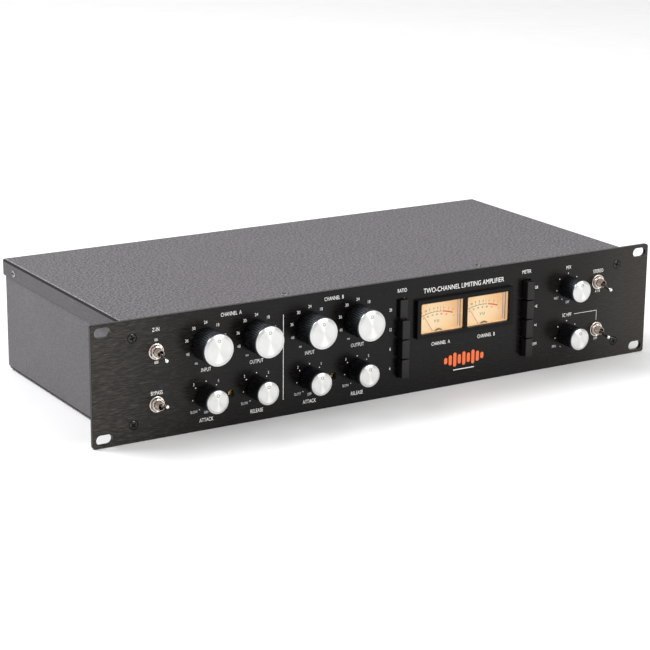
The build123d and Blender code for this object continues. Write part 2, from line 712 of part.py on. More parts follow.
# ---- rear connectors ----
def xlr_body(x):
    """Square flange and barrel; the mouth is a little wider than the bore behind it."""
    outline = RectangleRounded(XLR_FLANGE[0], XLR_FLANGE[1], XLR_FLANGE_R)
    flange = slab(Pos(x, 0) * outline, CASE_REAR_Y, FLANGE_FACE)
    barrel = rod(x, 0, FLANGE_FACE - XLR_DEPTH, FLANGE_FACE, XLR_BODY_R)
    mouth = rod(x, 0, FLANGE_FACE - XLR_MOUTH, FLANGE_FACE + 1, XLR_BORE_R)
    return flange + barrel - mouth - rod(x, 0, FLANGE_FACE - XLR_INNER_DEPTH, FLANGE_FACE, XLR_INNER_R)


def xlr_contact(x, angle, y0, y1, r):
    """One of three round contacts on a circle about the connector's axis."""
    turn = math.radians(angle)
    dx, dz = XLR_CONTACT_CIRCLE * math.cos(turn), XLR_CONTACT_CIRCLE * math.sin(turn)
    return rod(x + dx, dz, y0, y1, r)


def xlr_female(x):
    """Socket insert with three contact holes, set back in the mouth."""
    root = FLANGE_FACE - XLR_INNER_DEPTH - XLR_ROOT
    insert = rod(x, 0, root, FLANGE_FACE - XLR_MOUTH, XLR_INSERT_R)
    for angle in XLR_CONTACT_ANGLES:
        insert -= xlr_contact(x, angle, FLANGE_FACE - XLR_BORE_FLOOR, FLANGE_FACE, XLR_CONTACT_BORE_R)
    return xlr_body(x) + insert


def xlr_male(x):
    """Three contact pins standing in the open shell."""
    body = xlr_body(x)
    root = FLANGE_FACE - XLR_INNER_DEPTH - XLR_ROOT
    for angle in XLR_CONTACT_ANGLES:
        body += xlr_contact(x, angle, root, FLANGE_FACE - XLR_MOUTH - XLR_ROOT, XLR_PIN_R)
    return body


def jack(x):
    """Quarter-inch jack: boxed body inside, threaded bush through the wall."""
    mouth = CASE_REAR_Y + JACK_PROUD
    body = block(x - JACK_HALF, x + JACK_HALF, mouth - JACK_DEPTH - JACK_END, CASE_REAR_Y - SHEET_T,
                 -JACK_HALF, JACK_HALF)
    body += rod(x, 0, CASE_REAR_Y - SHEET_T - 1, mouth, JACK_BUSH_R)
    return body - rod(x, 0, mouth - JACK_DEPTH, mouth + 1, JACK_BORE_R)


def mains_inlet():
    """Three-pin inlet with a screwed flange; two corners of the mouth are cut off."""
    mouth = FLANGE_FACE
    flange = slab(Pos(INLET_X, 0) * RectangleRounded(*INLET_FLANGE), CASE_REAR_Y, mouth)
    width, height, depth = INLET_BODY
    body = flange + centred(INLET_X, 0, width, height, mouth - depth, CASE_REAR_Y)
    width, height, cut = INLET_MOUTH
    cavity = chamfer(Rectangle(width, height).vertices().group_by(Axis.Y)[-1], cut)
    floor_y = mouth - INLET_MOUTH_DEPTH
    body -= slab(Pos(INLET_X, 0) * cavity, floor_y, mouth + 1)
    half_w, half_h = INLET_PIN
    for dx, dz in INLET_PINS:
        body += centred(INLET_X + dx, dz, 2 * half_w, 2 * half_h, floor_y - 0.5, mouth - INLET_PIN_SET_BACK)
    return body


def screw_sunk(body, places):
    """Countersink a body for the screws that pass through it."""
    for place in places:
        body -= place * countersunk(*CASE_SINK, SINK_REACH)
    return body


def jack_fixings(x):
    """Washer and hexagon nut on a jack's bush."""
    bore = JACK_BUSH_R + FIT
    washer_r, washer_t = JACK_WASHER
    flats, height = JACK_NUT
    seat = CASE_REAR_Y + washer_t
    washer = turned(x, 0, [(bore, CASE_REAR_Y), (washer_r, CASE_REAR_Y), (washer_r, seat), (bore, seat)])
    return [washer, nut(x, 0, seat, seat + height, flats, bore)]


def make_connectors():
    """Rear sockets and the mains inlet."""
    sockets = [xlr_female(XLR_X["in_a"]), xlr_male(XLR_X["out_a"]),
               xlr_female(XLR_X["in_b"]), xlr_male(XLR_X["out_b"])]
    places = connector_screw_places()
    add("xlr_sockets", *[screw_sunk(body, places[2 * i:2 * i + 2]) for i, body in enumerate(sockets)])
    jacks = [jack(x) for x in JACK_X]
    fixings = [fixing for x in JACK_X for fixing in jack_fixings(x)]
    add("jack_sockets", *jacks, *fixings)
    add("mains_inlet", screw_sunk(mains_inlet(), places[-2:]))


# ---- boards and power supply ----
def make_boards():
    """Upright boards behind the controls and the main board on its posts."""
    uprights = [block(x0, x1, CONTROL_BOARD_Y, CONTROL_BOARD_Y + BOARD_T, -CONTROL_BOARD_HALF_H,
                      CONTROL_BOARD_HALF_H) for x0, x1 in CONTROL_BOARDS_X]
    banks = [centred(x, 0, *BANK_BOARD, BANK_REAR, BANK_REAR + BOARD_T) for x in BANK_X.values()]
    add("control_boards", *uprights, *banks)
    x0, x1, y0, y1 = BOARD
    main = block(x0, x1, y0, y1, BOARD_Z, BOARD_Z + BOARD_T)
    for x, y in STANDOFFS:
        main -= post(x, y, BOARD_Z - 1, BOARD_Z + BOARD_T + 1, BOARD_HOLE_R)
    add("main_board", main)


def heat_sink(base):
    """Flat spine with a row of fins."""
    x, y, height = HEAT_SINK
    spine_w, spine_t = SINK_SPINE
    sink = block(x, x + spine_w, y, y + spine_t, base, base + height)
    for fin in range(FINS):
        fin_x = x + fin * FIN_PITCH
        sink += block(fin_x, fin_x + FIN_T, y + FIN_Y[0], y + FIN_Y[1], base, base + height)
    return sink


def make_components():
    """Heat sink, capacitors, relays and chips on the main board."""
    base = BOARD_Z + BOARD_T
    parts = row_of_posts(BIG_CANS, base) + row_of_posts(SMALL_CANS, base)
    parts += row_of_blocks(RELAYS, base) + row_of_blocks(CHIPS, base)
    add("board_components", heat_sink(base), *parts)


def make_toroid():
    """Ring transformer on a pad, held down by a dish washer and a bolt."""
    x, y, r, height = TOROID
    floor_z = CASE_BOTTOM_Z + SHEET_T
    base = floor_z + PAD_T
    top = base + height
    ring = fillet(post(x, y, base, top, r).edges(), TOROID_ROUND)
    ring -= post(x, y, base - 1, top + 1, TOROID_BORE_R)
    pad = post(x, y, floor_z, base, r - PAD_INSET)
    head_r, head_h = TOROID_HEAD
    clamp = post(x, y, top, top + DISH_T, DISH_R) + post(x, y, base, top, TOROID_BOLT_R)
    clamp += post(x, y, top + DISH_T, top + DISH_T + head_h, head_r)
    add("toroidal_transformer", ring, pad, clamp)


def make_audio_transformers():
    """Four drawn cans with rounded upright edges."""
    cans = row_of_blocks(AUDIO_CANS, BOARD_Z + BOARD_T)
    add("audio_transformers", *[fillet(can.edges().filter_by(Axis.Z), AUDIO_CAN_R) for can in cans])


def make_screws():
    """Panel screws, and the screws of the cover and the rear flanges."""
    add("panel_screws", *[screw(place, PANEL_SCREW) for place in panel_screw_places()])
    places = cover_screw_places() + connector_screw_places()
    add("case_screws", *[screw(place, CASE_SCREW) for place in places])


def main():
    """Build every node and write one STEP file for each."""
    add("front_panel", front_panel())
    add("chassis", chassis())
    add("top_cover", top_cover())
    make_knobs()
    make_toggles()
    make_buttons()
    make_trimmers()
    make_meters()
    make_connectors()
    make_boards()
    make_components()
    make_toroid()
    make_audio_transformers()
    make_screws()
    os.makedirs("parts", exist_ok=True)
    for name, shape in NODES.items():
        export_step(shape, "parts/" + name + ".step")


main()
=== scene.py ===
import json
import math

import bmesh
import bpy
from mathutils import Matrix, Vector

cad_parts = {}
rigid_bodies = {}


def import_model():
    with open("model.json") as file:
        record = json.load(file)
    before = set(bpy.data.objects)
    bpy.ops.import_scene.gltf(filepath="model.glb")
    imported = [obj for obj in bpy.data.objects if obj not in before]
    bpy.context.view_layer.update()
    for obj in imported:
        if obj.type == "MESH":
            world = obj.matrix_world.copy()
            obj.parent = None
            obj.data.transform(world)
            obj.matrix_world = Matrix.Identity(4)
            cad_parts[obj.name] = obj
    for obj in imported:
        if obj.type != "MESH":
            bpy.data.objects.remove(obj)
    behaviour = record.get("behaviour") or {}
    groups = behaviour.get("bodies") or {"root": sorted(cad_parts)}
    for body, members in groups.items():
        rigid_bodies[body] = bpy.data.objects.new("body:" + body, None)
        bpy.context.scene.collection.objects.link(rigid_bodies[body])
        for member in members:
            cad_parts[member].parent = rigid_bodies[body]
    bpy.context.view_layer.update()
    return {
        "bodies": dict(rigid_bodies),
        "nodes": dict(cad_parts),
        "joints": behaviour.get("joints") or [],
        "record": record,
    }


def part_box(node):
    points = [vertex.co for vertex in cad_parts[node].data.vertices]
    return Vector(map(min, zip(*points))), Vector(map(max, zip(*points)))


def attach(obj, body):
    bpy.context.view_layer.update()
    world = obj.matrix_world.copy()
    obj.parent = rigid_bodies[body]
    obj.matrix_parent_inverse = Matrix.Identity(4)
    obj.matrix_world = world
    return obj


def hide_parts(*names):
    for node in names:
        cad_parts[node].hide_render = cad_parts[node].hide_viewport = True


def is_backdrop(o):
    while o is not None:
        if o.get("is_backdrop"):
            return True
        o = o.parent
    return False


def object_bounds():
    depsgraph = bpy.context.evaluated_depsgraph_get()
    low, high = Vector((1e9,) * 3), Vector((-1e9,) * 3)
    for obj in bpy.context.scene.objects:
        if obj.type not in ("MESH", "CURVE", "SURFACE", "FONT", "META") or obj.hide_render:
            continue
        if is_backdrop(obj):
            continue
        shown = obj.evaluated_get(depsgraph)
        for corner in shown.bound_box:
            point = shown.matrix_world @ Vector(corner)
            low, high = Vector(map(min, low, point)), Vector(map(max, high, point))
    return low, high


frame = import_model()
NODES = frame["nodes"]
JOINT = {joint["child"]: joint for joint in frame["joints"]}
STATIC = "chassis"
MM = 0.001
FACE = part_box("front_panel")[0].y
INK_HALF = 0.015 * MM  # half the thickness of the panel's print
INK_Y = FACE - INK_HALF
CAP_HEIGHT = 0.70  # capitals' share of the font's size
CONDENSED = 0.71  # width of the panel's letters against the font's own


def axis_of(body):
    """(x, z) of the hinge that a body turns about."""
    x, _, z = JOINT[body]["pos_m"]
    return x, z


def rotation(axis, degrees):
    """4 x 4 rotation about an axis through the origin."""
    return Matrix.Rotation(math.radians(degrees), 4, axis)


# -------- shader helpers


def set_inputs(node, values):
    """Put plain values on a node's inputs."""
    for socket, value in values.items():
        node.inputs[socket.replace("_", " ")].default_value = value


def material(name, colour, roughness, metallic=0.0, **sockets):
    """A Principled material; returns it with its node tree and shader."""
    made = bpy.data.materials.new(name)
    made.use_nodes = True
    shader = made.node_tree.nodes["Principled BSDF"]
    set_inputs(shader, {"Base Color": (*colour, 1.0), "Roughness": roughness, "Metallic": metallic})
    set_inputs(shader, sockets)
    return made, made.node_tree, shader


def add_node(tree, kind, linked, **values):
    """A shader node with links and plain values on its inputs."""
    node = tree.nodes.new("ShaderNode" + kind)
    set_inputs(node, values)
    for socket, source in linked.items():
        tree.links.new(source, node.inputs[socket])
    return node


def coordinates(tree, source):
    """One of the texture coordinate outputs."""
    return tree.nodes.new("ShaderNodeTexCoord").outputs[source]


def place_coords(tree, stretch=(1.0, 1.0, 1.0), source="Object"):
    """Texture coordinates in millimetres of the object's own frame, stretched per axis."""
    mapping = add_node(tree, "Mapping", {"Vector": coordinates(tree, source)},
                       Scale=[1000.0 * s for s in stretch])
    return mapping.outputs["Vector"]


def split_axes(tree, vector):
    """The X, Y and Z outputs of a vector."""
    return add_node(tree, "SeparateXYZ", {"Vector": vector}).outputs


def math_node(tree, operation, first, second=None):
    """One operation on a value, with a number or another value as its second term."""
    node = tree.nodes.new("ShaderNodeMath")
    node.operation = operation
    tree.links.new(first, node.inputs[0])
    if isinstance(second, float):
        node.inputs[1].default_value = second
    elif second is not None:
        tree.links.new(second, node.inputs[1])
    return node.outputs["Value"]


def facing(tree, axis):
    """How squarely the surface faces one of the object's own axes, 0 to 1."""
    return math_node(tree, "ABSOLUTE", split_axes(tree, coordinates(tree, "Normal"))[axis])


def noise(tree, coords, scale, detail=3.0, roughness=0.5):
    """A noise texture's value, 0 to 1."""
    node = add_node(tree, "TexNoise", {"Vector": coords}, Scale=scale, Detail=detail, Roughness=roughness)
    return node.outputs["Fac"]


def grey_stops(*stops):
    """Colour ramp stops from (position, level) pairs."""
    return [(position, (level, level, level)) for position, level in stops]


def ramp(tree, value, stops):
    """Colour ramp from (position, colour) stops."""
    node = add_node(tree, "ValToRGB", {"Fac": value})
    elements = node.color_ramp.elements
    elements.remove(elements[-1])
    elements[0].position, elements[0].color = stops[0][0], (*stops[0][1], 1.0)
    for position, colour in stops[1:]:
        elements.new(position).color = (*colour, 1.0)
    return node.outputs["Color"]


def solid(tree, colour):
    """A plain colour as a node's output."""
    node = tree.nodes.new("ShaderNodeRGB")
    node.outputs["Color"].default_value = (*colour, 1.0)
    return node.outputs["Color"]


def blend(tree, first, second, mode="MULTIPLY", factor=None):
    """Two colours joined by a mix node, fully unless a factor is linked."""
    node = tree.nodes.new("ShaderNodeMix")
    node.data_type = "RGBA"
    node.blend_type = mode
    node.inputs["Factor"].default_value = 1.0
    if factor is not None:
        tree.links.new(factor, node.inputs["Factor"])
    tree.links.new(first, node.inputs["A"])
    tree.links.new(second, node.inputs["B"])
    return node.outputs["Result"]


def spread(tree, value, low, high, source=(0.3, 0.7)):
    """Map a 0..1 texture value to a range, for roughness."""
    node = add_node(tree, "MapRange", {"Value": value}, From_Min=source[0], From_Max=source[1],
                    To_Min=low, To_Max=high)
    return node.outputs["Result"]


def bump(tree, shader, height, strength, distance_mm):
    """Raise the shader's surface by a texture value."""
    node = add_node(tree, "Bump", {"Height": height}, Strength=strength, Distance=distance_mm * MM)
    tree.links.new(node.outputs["Normal"], shader.inputs["Normal"])


def shades(colour, vary):
    """The colour a little darker and a little lighter."""
    return [c * (1 - vary) for c in colour], [min(1.0, c * (1 + vary)) for c in colour]


def grained(name, colour, roughness, scale, strength, distance_mm, metallic=0.0, vary=0.18, **sockets):
    """A finish with colour, gloss and surface varied by one fine grain."""
    made, tree, shader = material(name, colour, roughness, metallic, **sockets)
    coords = place_coords(tree)
    grain = noise(tree, coords, scale, 5.0, 0.62)
    broad = noise(tree, coords, scale * 0.06, 2.0)
    dark, light = shades(colour, vary)
    tree.links.new(ramp(tree, broad, [(0.3, dark), (0.7, light)]), shader.inputs["Base Color"])
    tree.links.new(spread(tree, grain, roughness * 0.85, min(1.0, roughness * 1.15)),
                   shader.inputs["Roughness"])
    bump(tree, shader, grain, strength, distance_mm)
    return made


def brushed(name, colour, roughness, stretch, strength, vary, **sockets):
    """Short straight scratches along X, calmer to the right, with a painted sheen that pales the panel
    towards both ends and painted shade on faces that don't face the front.
    """
    made, tree, shader = material(name, colour, roughness, **sockets)
    fine = noise(tree, place_coords(tree, stretch), 1.0, 3.0, 0.6)
    dark, light = shades(colour, vary)
    bright = [2.6 * c for c in light]
    lines = ramp(tree, fine, [(0.36, dark), (0.5, colour), (0.6, light), (0.74, bright)])
    across = split_axes(tree, place_coords(tree, (1 / PANEL_HALF, 1.0, 1.0)))["X"]
    calm = ramp(tree, across, grey_stops((0.3, 0.0), (0.75, 0.8)))
    lines = blend(tree, lines, solid(tree, [1.12 * c for c in colour]), "MIX", calm)
    # painted light: the panel is painted darker in the middle and paler towards both ends, a painted sheen
    # where the brushing catches light near the ends
    painted_end_sheen = ramp(tree, math_node(tree, "ABSOLUTE", across),
                grey_stops((0.0, 0.30), (0.55, 0.60), (0.75, 1.7), (0.88, 3.2), (1.0, 4.4)))
    # painted shade: faces that don't face the front, such as the slot walls and the panel's edges, get 0.3 of
    # the colour
    front = ramp(tree, facing(tree, "Y"), grey_stops((0.9, 0.3), (0.99, 1.0)))
    tree.links.new(blend(tree, blend(tree, lines, painted_end_sheen), front), shader.inputs["Base Color"])
    tree.links.new(spread(tree, fine, roughness * 0.8, min(1.0, roughness * 1.25)),
                   shader.inputs["Roughness"])
    bump(tree, shader, fine, strength, 0.02)
    return made


def folded_paint(name, colour, roughness, side=1.0, fold_z=None):
    """Textured paint on folded sheet: coarse grain on level faces, fine on upright ones, a painted dark
    reflection and a painted highlight along the bends.

    With fold_z, the upright faces are darkened to the side level as painted shade, with a painted shadow line
    just under that height.
    """
    made, tree, shader = material(name, colour, roughness, Specular_IOR_Level=0.22)
    coords = place_coords(tree)
    upward = facing(tree, "Z")
    level = ramp(tree, upward, grey_stops((0.5, 0.0), (0.6, 1.0)))
    coarse = ramp(tree, noise(tree, coords, 0.60, 5.0, 0.62), grey_stops((0.38, 0.30), (0.62, 1.70)))
    fine = ramp(tree, noise(tree, coords, 1.5, 4.0, 0.6), grey_stops((0.38, 0.66), (0.62, 1.34)))
    flecks = blend(tree, fine, coarse, "MIX", level)
    cloud = noise(tree, coords, 0.03, 2.0)
    base = ramp(tree, cloud, [(0.3, [c * 0.97 for c in colour]), (0.7, [c * 1.03 for c in colour])])
    # painted light on the bend facets: nearly black where the fold turns (a painted dark reflection), then a
    # painted highlight just before the flat top
    painted_fold_shade_and_highlight = ramp(tree, upward, grey_stops((0.01, 1.0), (0.06, 0.02), (0.76, 0.02), (0.84, 1.9),
                                         (0.97, 2.0), (0.995, 1.0)))
    tone = blend(tree, blend(tree, base, flecks), painted_fold_shade_and_highlight)
    if fold_z is not None:
        # painted shade: upright faces darkened to the side level, and nearly black in the band just under
        # fold_z
        shaded_mm = 4.0
        above = math_node(tree, "SUBTRACT", split_axes(tree, coords)["Z"], fold_z / MM - shaded_mm)
        rise = math_node(tree, "MULTIPLY", above, 1 / shaded_mm)
        shade = ramp(tree, rise, grey_stops((0.0, side), (0.42, side), (0.48, 0.02), (1.0, 0.02)))
        flat = ramp(tree, upward, grey_stops((0.10, 0.0), (0.12, 1.0)))
        tone = blend(tree, tone, blend(tree, shade, solid(tree, (1.0, 1.0, 1.0)), "MIX", flat))
    tree.links.new(tone, shader.inputs["Base Color"])
    tree.links.new(spread(tree, flecks, roughness * 0.9, min(1.0, roughness * 1.1), (0.5, 1.5)),
                   shader.inputs["Roughness"])
    bump(tree, shader, flecks, 1.0, 0.08)
    return made


def spun(name, colour, roughness):
    """Aluminium turned on a lathe: fine rings, and the radial glints they give."""
    made, tree, shader = material(name, colour, roughness, 1.0, Anisotropic=0.9, Anisotropic_Rotation=0.25)
    rings = place_coords(tree, (0.0, 0.001, 0.0), "UV")
    fine = noise(tree, rings, 3.0, 2.0, 0.6)
    tree.links.new(spread(tree, fine, roughness * 0.92, roughness * 1.08), shader.inputs["Roughness"])
    dark, _ = shades(colour, 0.06)
    tree.links.new(ramp(tree, fine, [(0.3, dark), (0.7, colour)]), shader.inputs["Base Color"])
    bump(tree, shader, fine, 0.02, 0.005)
    tangent = tree.nodes.new("ShaderNodeTangent")
    tangent.direction_type = "UV_MAP"
    tangent.uv_map = "UVMap"
    tree.links.new(tangent.outputs["Tangent"], shader.inputs["Tangent"])
    return made


def dial_glow(name):
    """Cream dial lit from behind: warmest at the edges, palest low in the middle."""
    made, tree, shader = material(name, (0.25, 0.19, 0.11), 0.5)
    mapping = add_node(tree, "Mapping", {"Vector": coordinates(tree, "Object")},
                       Scale=(1 / DIAL_PITCH, 1.0, 1 / DIAL_HEIGHT),
                       Location=(-DIAL_LEFT / DIAL_PITCH, 0.0, -DIAL_LOW.z / DIAL_HEIGHT))
    axes = split_axes(tree, mapping.outputs["Vector"])
    palest_x, palest_z = 0.42, 0.36
    across = math_node(tree, "FRACT", axes["X"])
    side = math_node(tree, "ABSOLUTE", math_node(tree, "SUBTRACT", across, palest_x))
    up = math_node(tree, "ABSOLUTE", math_node(tree, "SUBTRACT", axes["Z"], palest_z))
    far = math_node(tree, "ADD", math_node(tree, "MULTIPLY", side, 1.25),
                    math_node(tree, "MULTIPLY", up, 0.8))
    glow = ramp(tree, far, [(0.1, (1.0, 0.80, 0.52)), (0.45, (1.0, 0.70, 0.38)), (0.85, (0.93, 0.50, 0.20))])
    tree.links.new(glow, shader.inputs["Emission Color"])
    paper = noise(tree, place_coords(tree), 1.5, 2.0)
    tree.links.new(ramp(tree, paper, [(0.3, (0.23, 0.175, 0.10)), (0.7, (0.27, 0.205, 0.12))]),
                   shader.inputs["Base Color"])
    shader.inputs["Emission Strength"].default_value = 0.68
    return made


# -------- finishes

PANEL_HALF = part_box("front_panel")[1].x / MM
DIAL_LOW, DIAL_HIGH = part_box("meter_dials")
DIAL_PITCH = axis_of("needle_b_movement")[0] - axis_of("needle_a_movement")[0]
DIAL_LEFT = axis_of("needle_a_movement")[0] - DIAL_PITCH / 2
DIAL_HEIGHT = DIAL_HIGH.z - DIAL_LOW.z
BLACK = (0.0006, 0.0006, 0.0010)
PAINT_GREY = (0.119, 0.111, 0.119)

# grained: name, colour, roughness, grain scale, bump strength and height in mm, metallic, variation
MAT = {
    "panel_black": brushed("anodised_panel", (0.0062, 0.0055, 0.0048), 0.27, (0.17, 2.1, 2.1), 0.5, 0.5,
                           Specular_IOR_Level=0.17),
    "case_grey": folded_paint("textured_paint", PAINT_GREY, 0.58),
    # the cover's copy of the paint, with painted shade on its sides (0.76) and a painted shadow line under
    # the fold
    "cover_grey": folded_paint("textured_paint_cover", PAINT_GREY, 0.58, 0.76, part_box("top_cover")[1].z),
    # painted tint: the blue specular tint stands in for the cool cast of the light in the knobs' highlights
    "knob_black": grained("knob_moulding", BLACK, 0.43, 1.2, 0.02, 0.01, Specular_IOR_Level=0.6,
                          Specular_Tint=(0.78, 0.87, 1.0, 1.0)),
    "spun_aluminium": spun("spun_aluminium", (0.63, 0.63, 0.62), 0.30),
    "engraved": grained("engraved_line", (0.16, 0.155, 0.15), 0.5, 2.0, 0.1, 0.01),
    "button_black": grained("button_moulding", (0.0055, 0.005, 0.0045), 0.40, 2.5, 0.08, 0.03,
                            Specular_IOR_Level=0.29),
    "chrome": grained("bright_chrome", (0.80, 0.79, 0.77), 0.10, 0.8, 0.02, 0.01, 1.0, 0.04),
    # painted shade: a darker copy of the chrome for the lever's shaft, which reflects the dark panel
    "chrome_shaft": grained("smoked_chrome", (0.56, 0.54, 0.52), 0.22, 0.8, 0.02, 0.01, 1.0, 0.04),
    "nickel": grained("nickel_plate", (0.62, 0.56, 0.525), 0.18, 2.0, 0.04, 0.01, 1.0, 0.08),
    # painted shade: a darker, browner copy of the nickel plate for the toggles' bushes, for the shade in
    # their threads
    "nickel_shade": grained("thread_plate", (0.32, 0.265, 0.22), 0.22, 2.0, 0.04, 0.01, 1.0, 0.08),
    "needle_red": grained("needle_paint", (0.70, 0.045, 0.02), 0.45, 3.0, 0.05, 0.01),
    "brass": grained("turned_brass", (0.95, 0.62, 0.30), 0.34, 2.0, 0.10, 0.02, 0.7, 0.10),
    "bezel_black": grained("bezel_moulding", (0.0022, 0.0022, 0.0023), 0.32, 3.0, 0.10, 0.03,
                           Specular_IOR_Level=0.13),
    "dial_amber": dial_glow("lit_dial"),
    "magnet_iron": grained("magnet_plate", (0.22, 0.22, 0.23), 0.38, 1.5, 0.15, 0.03, 1.0),
    "pot_steel": grained("pot_can", (0.55, 0.55, 0.55), 0.30, 1.5, 0.12, 0.02, 1.0, 0.1),
    "switch_red": grained("phenolic_case", (0.20, 0.022, 0.015), 0.4, 2.0, 0.1, 0.03),
    "switch_black": grained("switch_moulding", (0.035, 0.035, 0.037), 0.5, 2.0, 0.1, 0.03),
    "trimmer_blue": grained("trimmer_moulding", (0.02, 0.09, 0.40), 0.35, 2.0, 0.06, 0.02),
    "circuit_board": grained("solder_mask", (0.012, 0.13, 0.05), 0.33, 0.5, 0.12, 0.03, vary=0.3),
    "component_black": grained("component_sleeve", (0.028, 0.030, 0.045), 0.35, 1.0, 0.08, 0.03),
    "toroid_wrap": grained("amber_tape", (0.42, 0.24, 0.04), 0.32, 0.35, 0.35, 0.25, vary=0.3,
                           Coat_Weight=0.5),
    "transformer_can": grained("drawn_can", (0.52, 0.52, 0.52), 0.32, 1.0, 0.12, 0.03, 1.0, 0.1),
    "connector_black": grained("connector_black", (0.022, 0.022, 0.024), 0.42, 2.2, 0.14, 0.03),
    "panel_screw": grained("polished_black_oxide", (0.048, 0.047, 0.046), 0.13, 2.0, 0.05, 0.01, 1.0),
    "case_screw": grained("black_nickel", (0.38, 0.37, 0.36), 0.20, 2.0, 0.05, 0.01, 1.0),
    "recess": grained("recess_shadow", (0.003, 0.003, 0.003), 0.6, 2.0, 0.1, 0.01, Specular_IOR_Level=0.1),
    "screw_black": grained("black_oxide", (0.0025, 0.0023, 0.002), 0.20, 2.0, 0.15, 0.02,
                           Specular_IOR_Level=0.16),
    # painted light: the strip's emission stands in for the meter lamp's light that it catches
    "reflector": grained("frosted_reflector", (0.55, 0.49, 0.50), 0.4, 1.0, 0.1, 0.02,
                         Emission_Color=(0.50, 0.41, 0.42, 1.0), Emission_Strength=0.45),
    "strip_edge": grained("strip_edge", (0.08, 0.06, 0.06), 0.4, 1.0, 0.1, 0.02),
    "print_white": grained("legend_ink", (0.82, 0.82, 0.80), 0.55, 4.0, 0.05, 0.01, vary=0.03),
    "print_orange": grained("emblem_ink", (0.76, 0.135, 0.03), 0.5, 4.0, 0.05, 0.01, vary=0.05),
    "dial_black": grained("dial_ink", (0.016, 0.012, 0.008), 0.6, 4.0, 0.05, 0.01),
    "dial_red": grained("dial_red_ink", (0.75, 0.05, 0.02), 0.6, 4.0, 0.05, 0.01),
    "gold": grained("gold_contact", (0.85, 0.60, 0.22), 0.22, 2.0, 0.05, 0.01, 1.0, 0.05),
}


def lens_material():
    """Clear moulded cover with a faint surface wave."""
    made, tree, shader = material("clear_lens", (1.0, 0.99, 0.97), 0.0, Transmission_Weight=1.0, IOR=1.3)
    bump(tree, shader, noise(tree, place_coords(tree), 0.08, 1.0), 0.02, 0.02)
    return made


def case_material():
    """Translucent meter body that carries the lamp's warm light."""
    made, tree, shader = material("lit_case", (0.45, 0.34, 0.21), 0.35)
    cloud = noise(tree, place_coords(tree), 0.15, 2.0)
    glow = ramp(tree, cloud, [(0.3, (0.95, 0.60, 0.28)), (0.7, (1.0, 0.72, 0.40))])
    tree.links.new(ramp(tree, cloud, [(0.3, (0.42, 0.30, 0.17)), (0.7, (0.48, 0.37, 0.23))]),
                   shader.inputs["Base Color"])
    tree.links.new(glow, shader.inputs["Emission Color"])
    shader.inputs["Emission Strength"].default_value = 0.5
    return made


MAT["lens_clear"] = lens_material()
MAT["meter_case_clear"] = case_material()

# -------- mesh helpers


def add_object(name, data):
    """A new object in the scene."""
    made = bpy.data.objects.new(name, data)
    bpy.context.scene.collection.objects.link(made)
    return made


def piece(name, bm, finish, body, stands_for=(), smooth_deg=35.0):
    """Turn a bmesh into a finished piece that rides on a body."""
    bmesh.ops.recalc_face_normals(bm, faces=bm.faces)
    mesh = bpy.data.meshes.new(name)
    bm.to_mesh(mesh)
    bm.free()
    mesh.shade_smooth()
    mesh.set_sharp_from_angle(angle=math.radians(smooth_deg))
    mesh.materials.append(MAT[finish])
    made = add_object(name, mesh)
    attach(made, body)
    if stands_for:
        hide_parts(*stands_for)
    return made


def lathe(profile, centre, segments=96, bm=None):
    """Closed turned shape about a Y axis at centre (x, z).

    Each profile entry is (radius, y), or a function of the angle that returns one.
    A radius of 0 closes the shape with a pole. UV: round the axis, and along the profile in mm.
    """
    bm = bm or bmesh.new()
    uv = bm.loops.layers.uv.get("UVMap") or bm.loops.layers.uv.new("UVMap")
    angles = [2 * math.pi * i / segments for i in range(segments)]
    rings = []
    for entry in profile:
        if callable(entry):
            points = [entry(a) for a in angles]
        else:
            points = [entry] * segments
        if max(r for r, _ in points) < 1e-7:
            rings.append([bm.verts.new((centre[0], points[0][1], centre[1]))] * segments)
        else:
            rings.append([bm.verts.new((centre[0] + r * math.sin(a), y, centre[1] + r * math.cos(a)))
                          for (r, y), a in zip(points, angles)])
    lengths = [0.0]
    for ring, following in zip(rings, rings[1:]):
        lengths.append(lengths[-1] + (ring[0].co - following[0].co).length / MM)
    joined = list(zip(range(len(rings)), range(1, len(rings))))
    if len(set(rings[0])) > 1 and len(set(rings[-1])) > 1:
        joined.append((len(rings) - 1, 0))
    for low, high in joined:
        for i in range(segments):
            j = (i + 1) % segments
            corners = [(rings[low][i], i, low), (rings[low][j], i + 1, low),
                       (rings[high][j], i + 1, high), (rings[high][i], i, high)]
            unique = []
            for vert, turn, row in corners:
                if all(vert is not kept[0] for kept in unique):
                    unique.append((vert, turn, row))
            face = bm.faces.new([kept[0] for kept in unique])
            for loop, (_, turn, row) in zip(face.loops, unique):
                loop[uv].uv = (turn / segments, lengths[row])
    return bm


def profile_mm(y, *points):
    """Lathe profile from (radius, offset from y) pairs in millimetres."""
    return [(radius * MM, y + offset * MM) for radius, offset in points]


def box_matrix(low, high):
    """Matrix that fits a unit cube between two corners."""
    size = Vector(high) - Vector(low)
    middle = (Vector(high) + Vector(low)) / 2
    return Matrix.Translation(middle) @ Matrix.Diagonal((*size, 1.0))


def bevelled_block(low, high, bevel, segments=3, bm=None):
    """Block between two corners with rounded edges."""
    bm = bm or bmesh.new()
    made = bmesh.ops.create_cube(bm, size=1.0, matrix=box_matrix(low, high))
    edges = list(dict.fromkeys(edge for vert in made["verts"] for edge in vert.link_edges))
    bmesh.ops.bevel(bm, geom=edges, offset=bevel, segments=segments, profile=0.5, affect="EDGES")
    return bm


def bar(bm, low, high):
    """Plain block between two corners."""
    bmesh.ops.create_cube(bm, size=1.0, matrix=box_matrix(low, high))


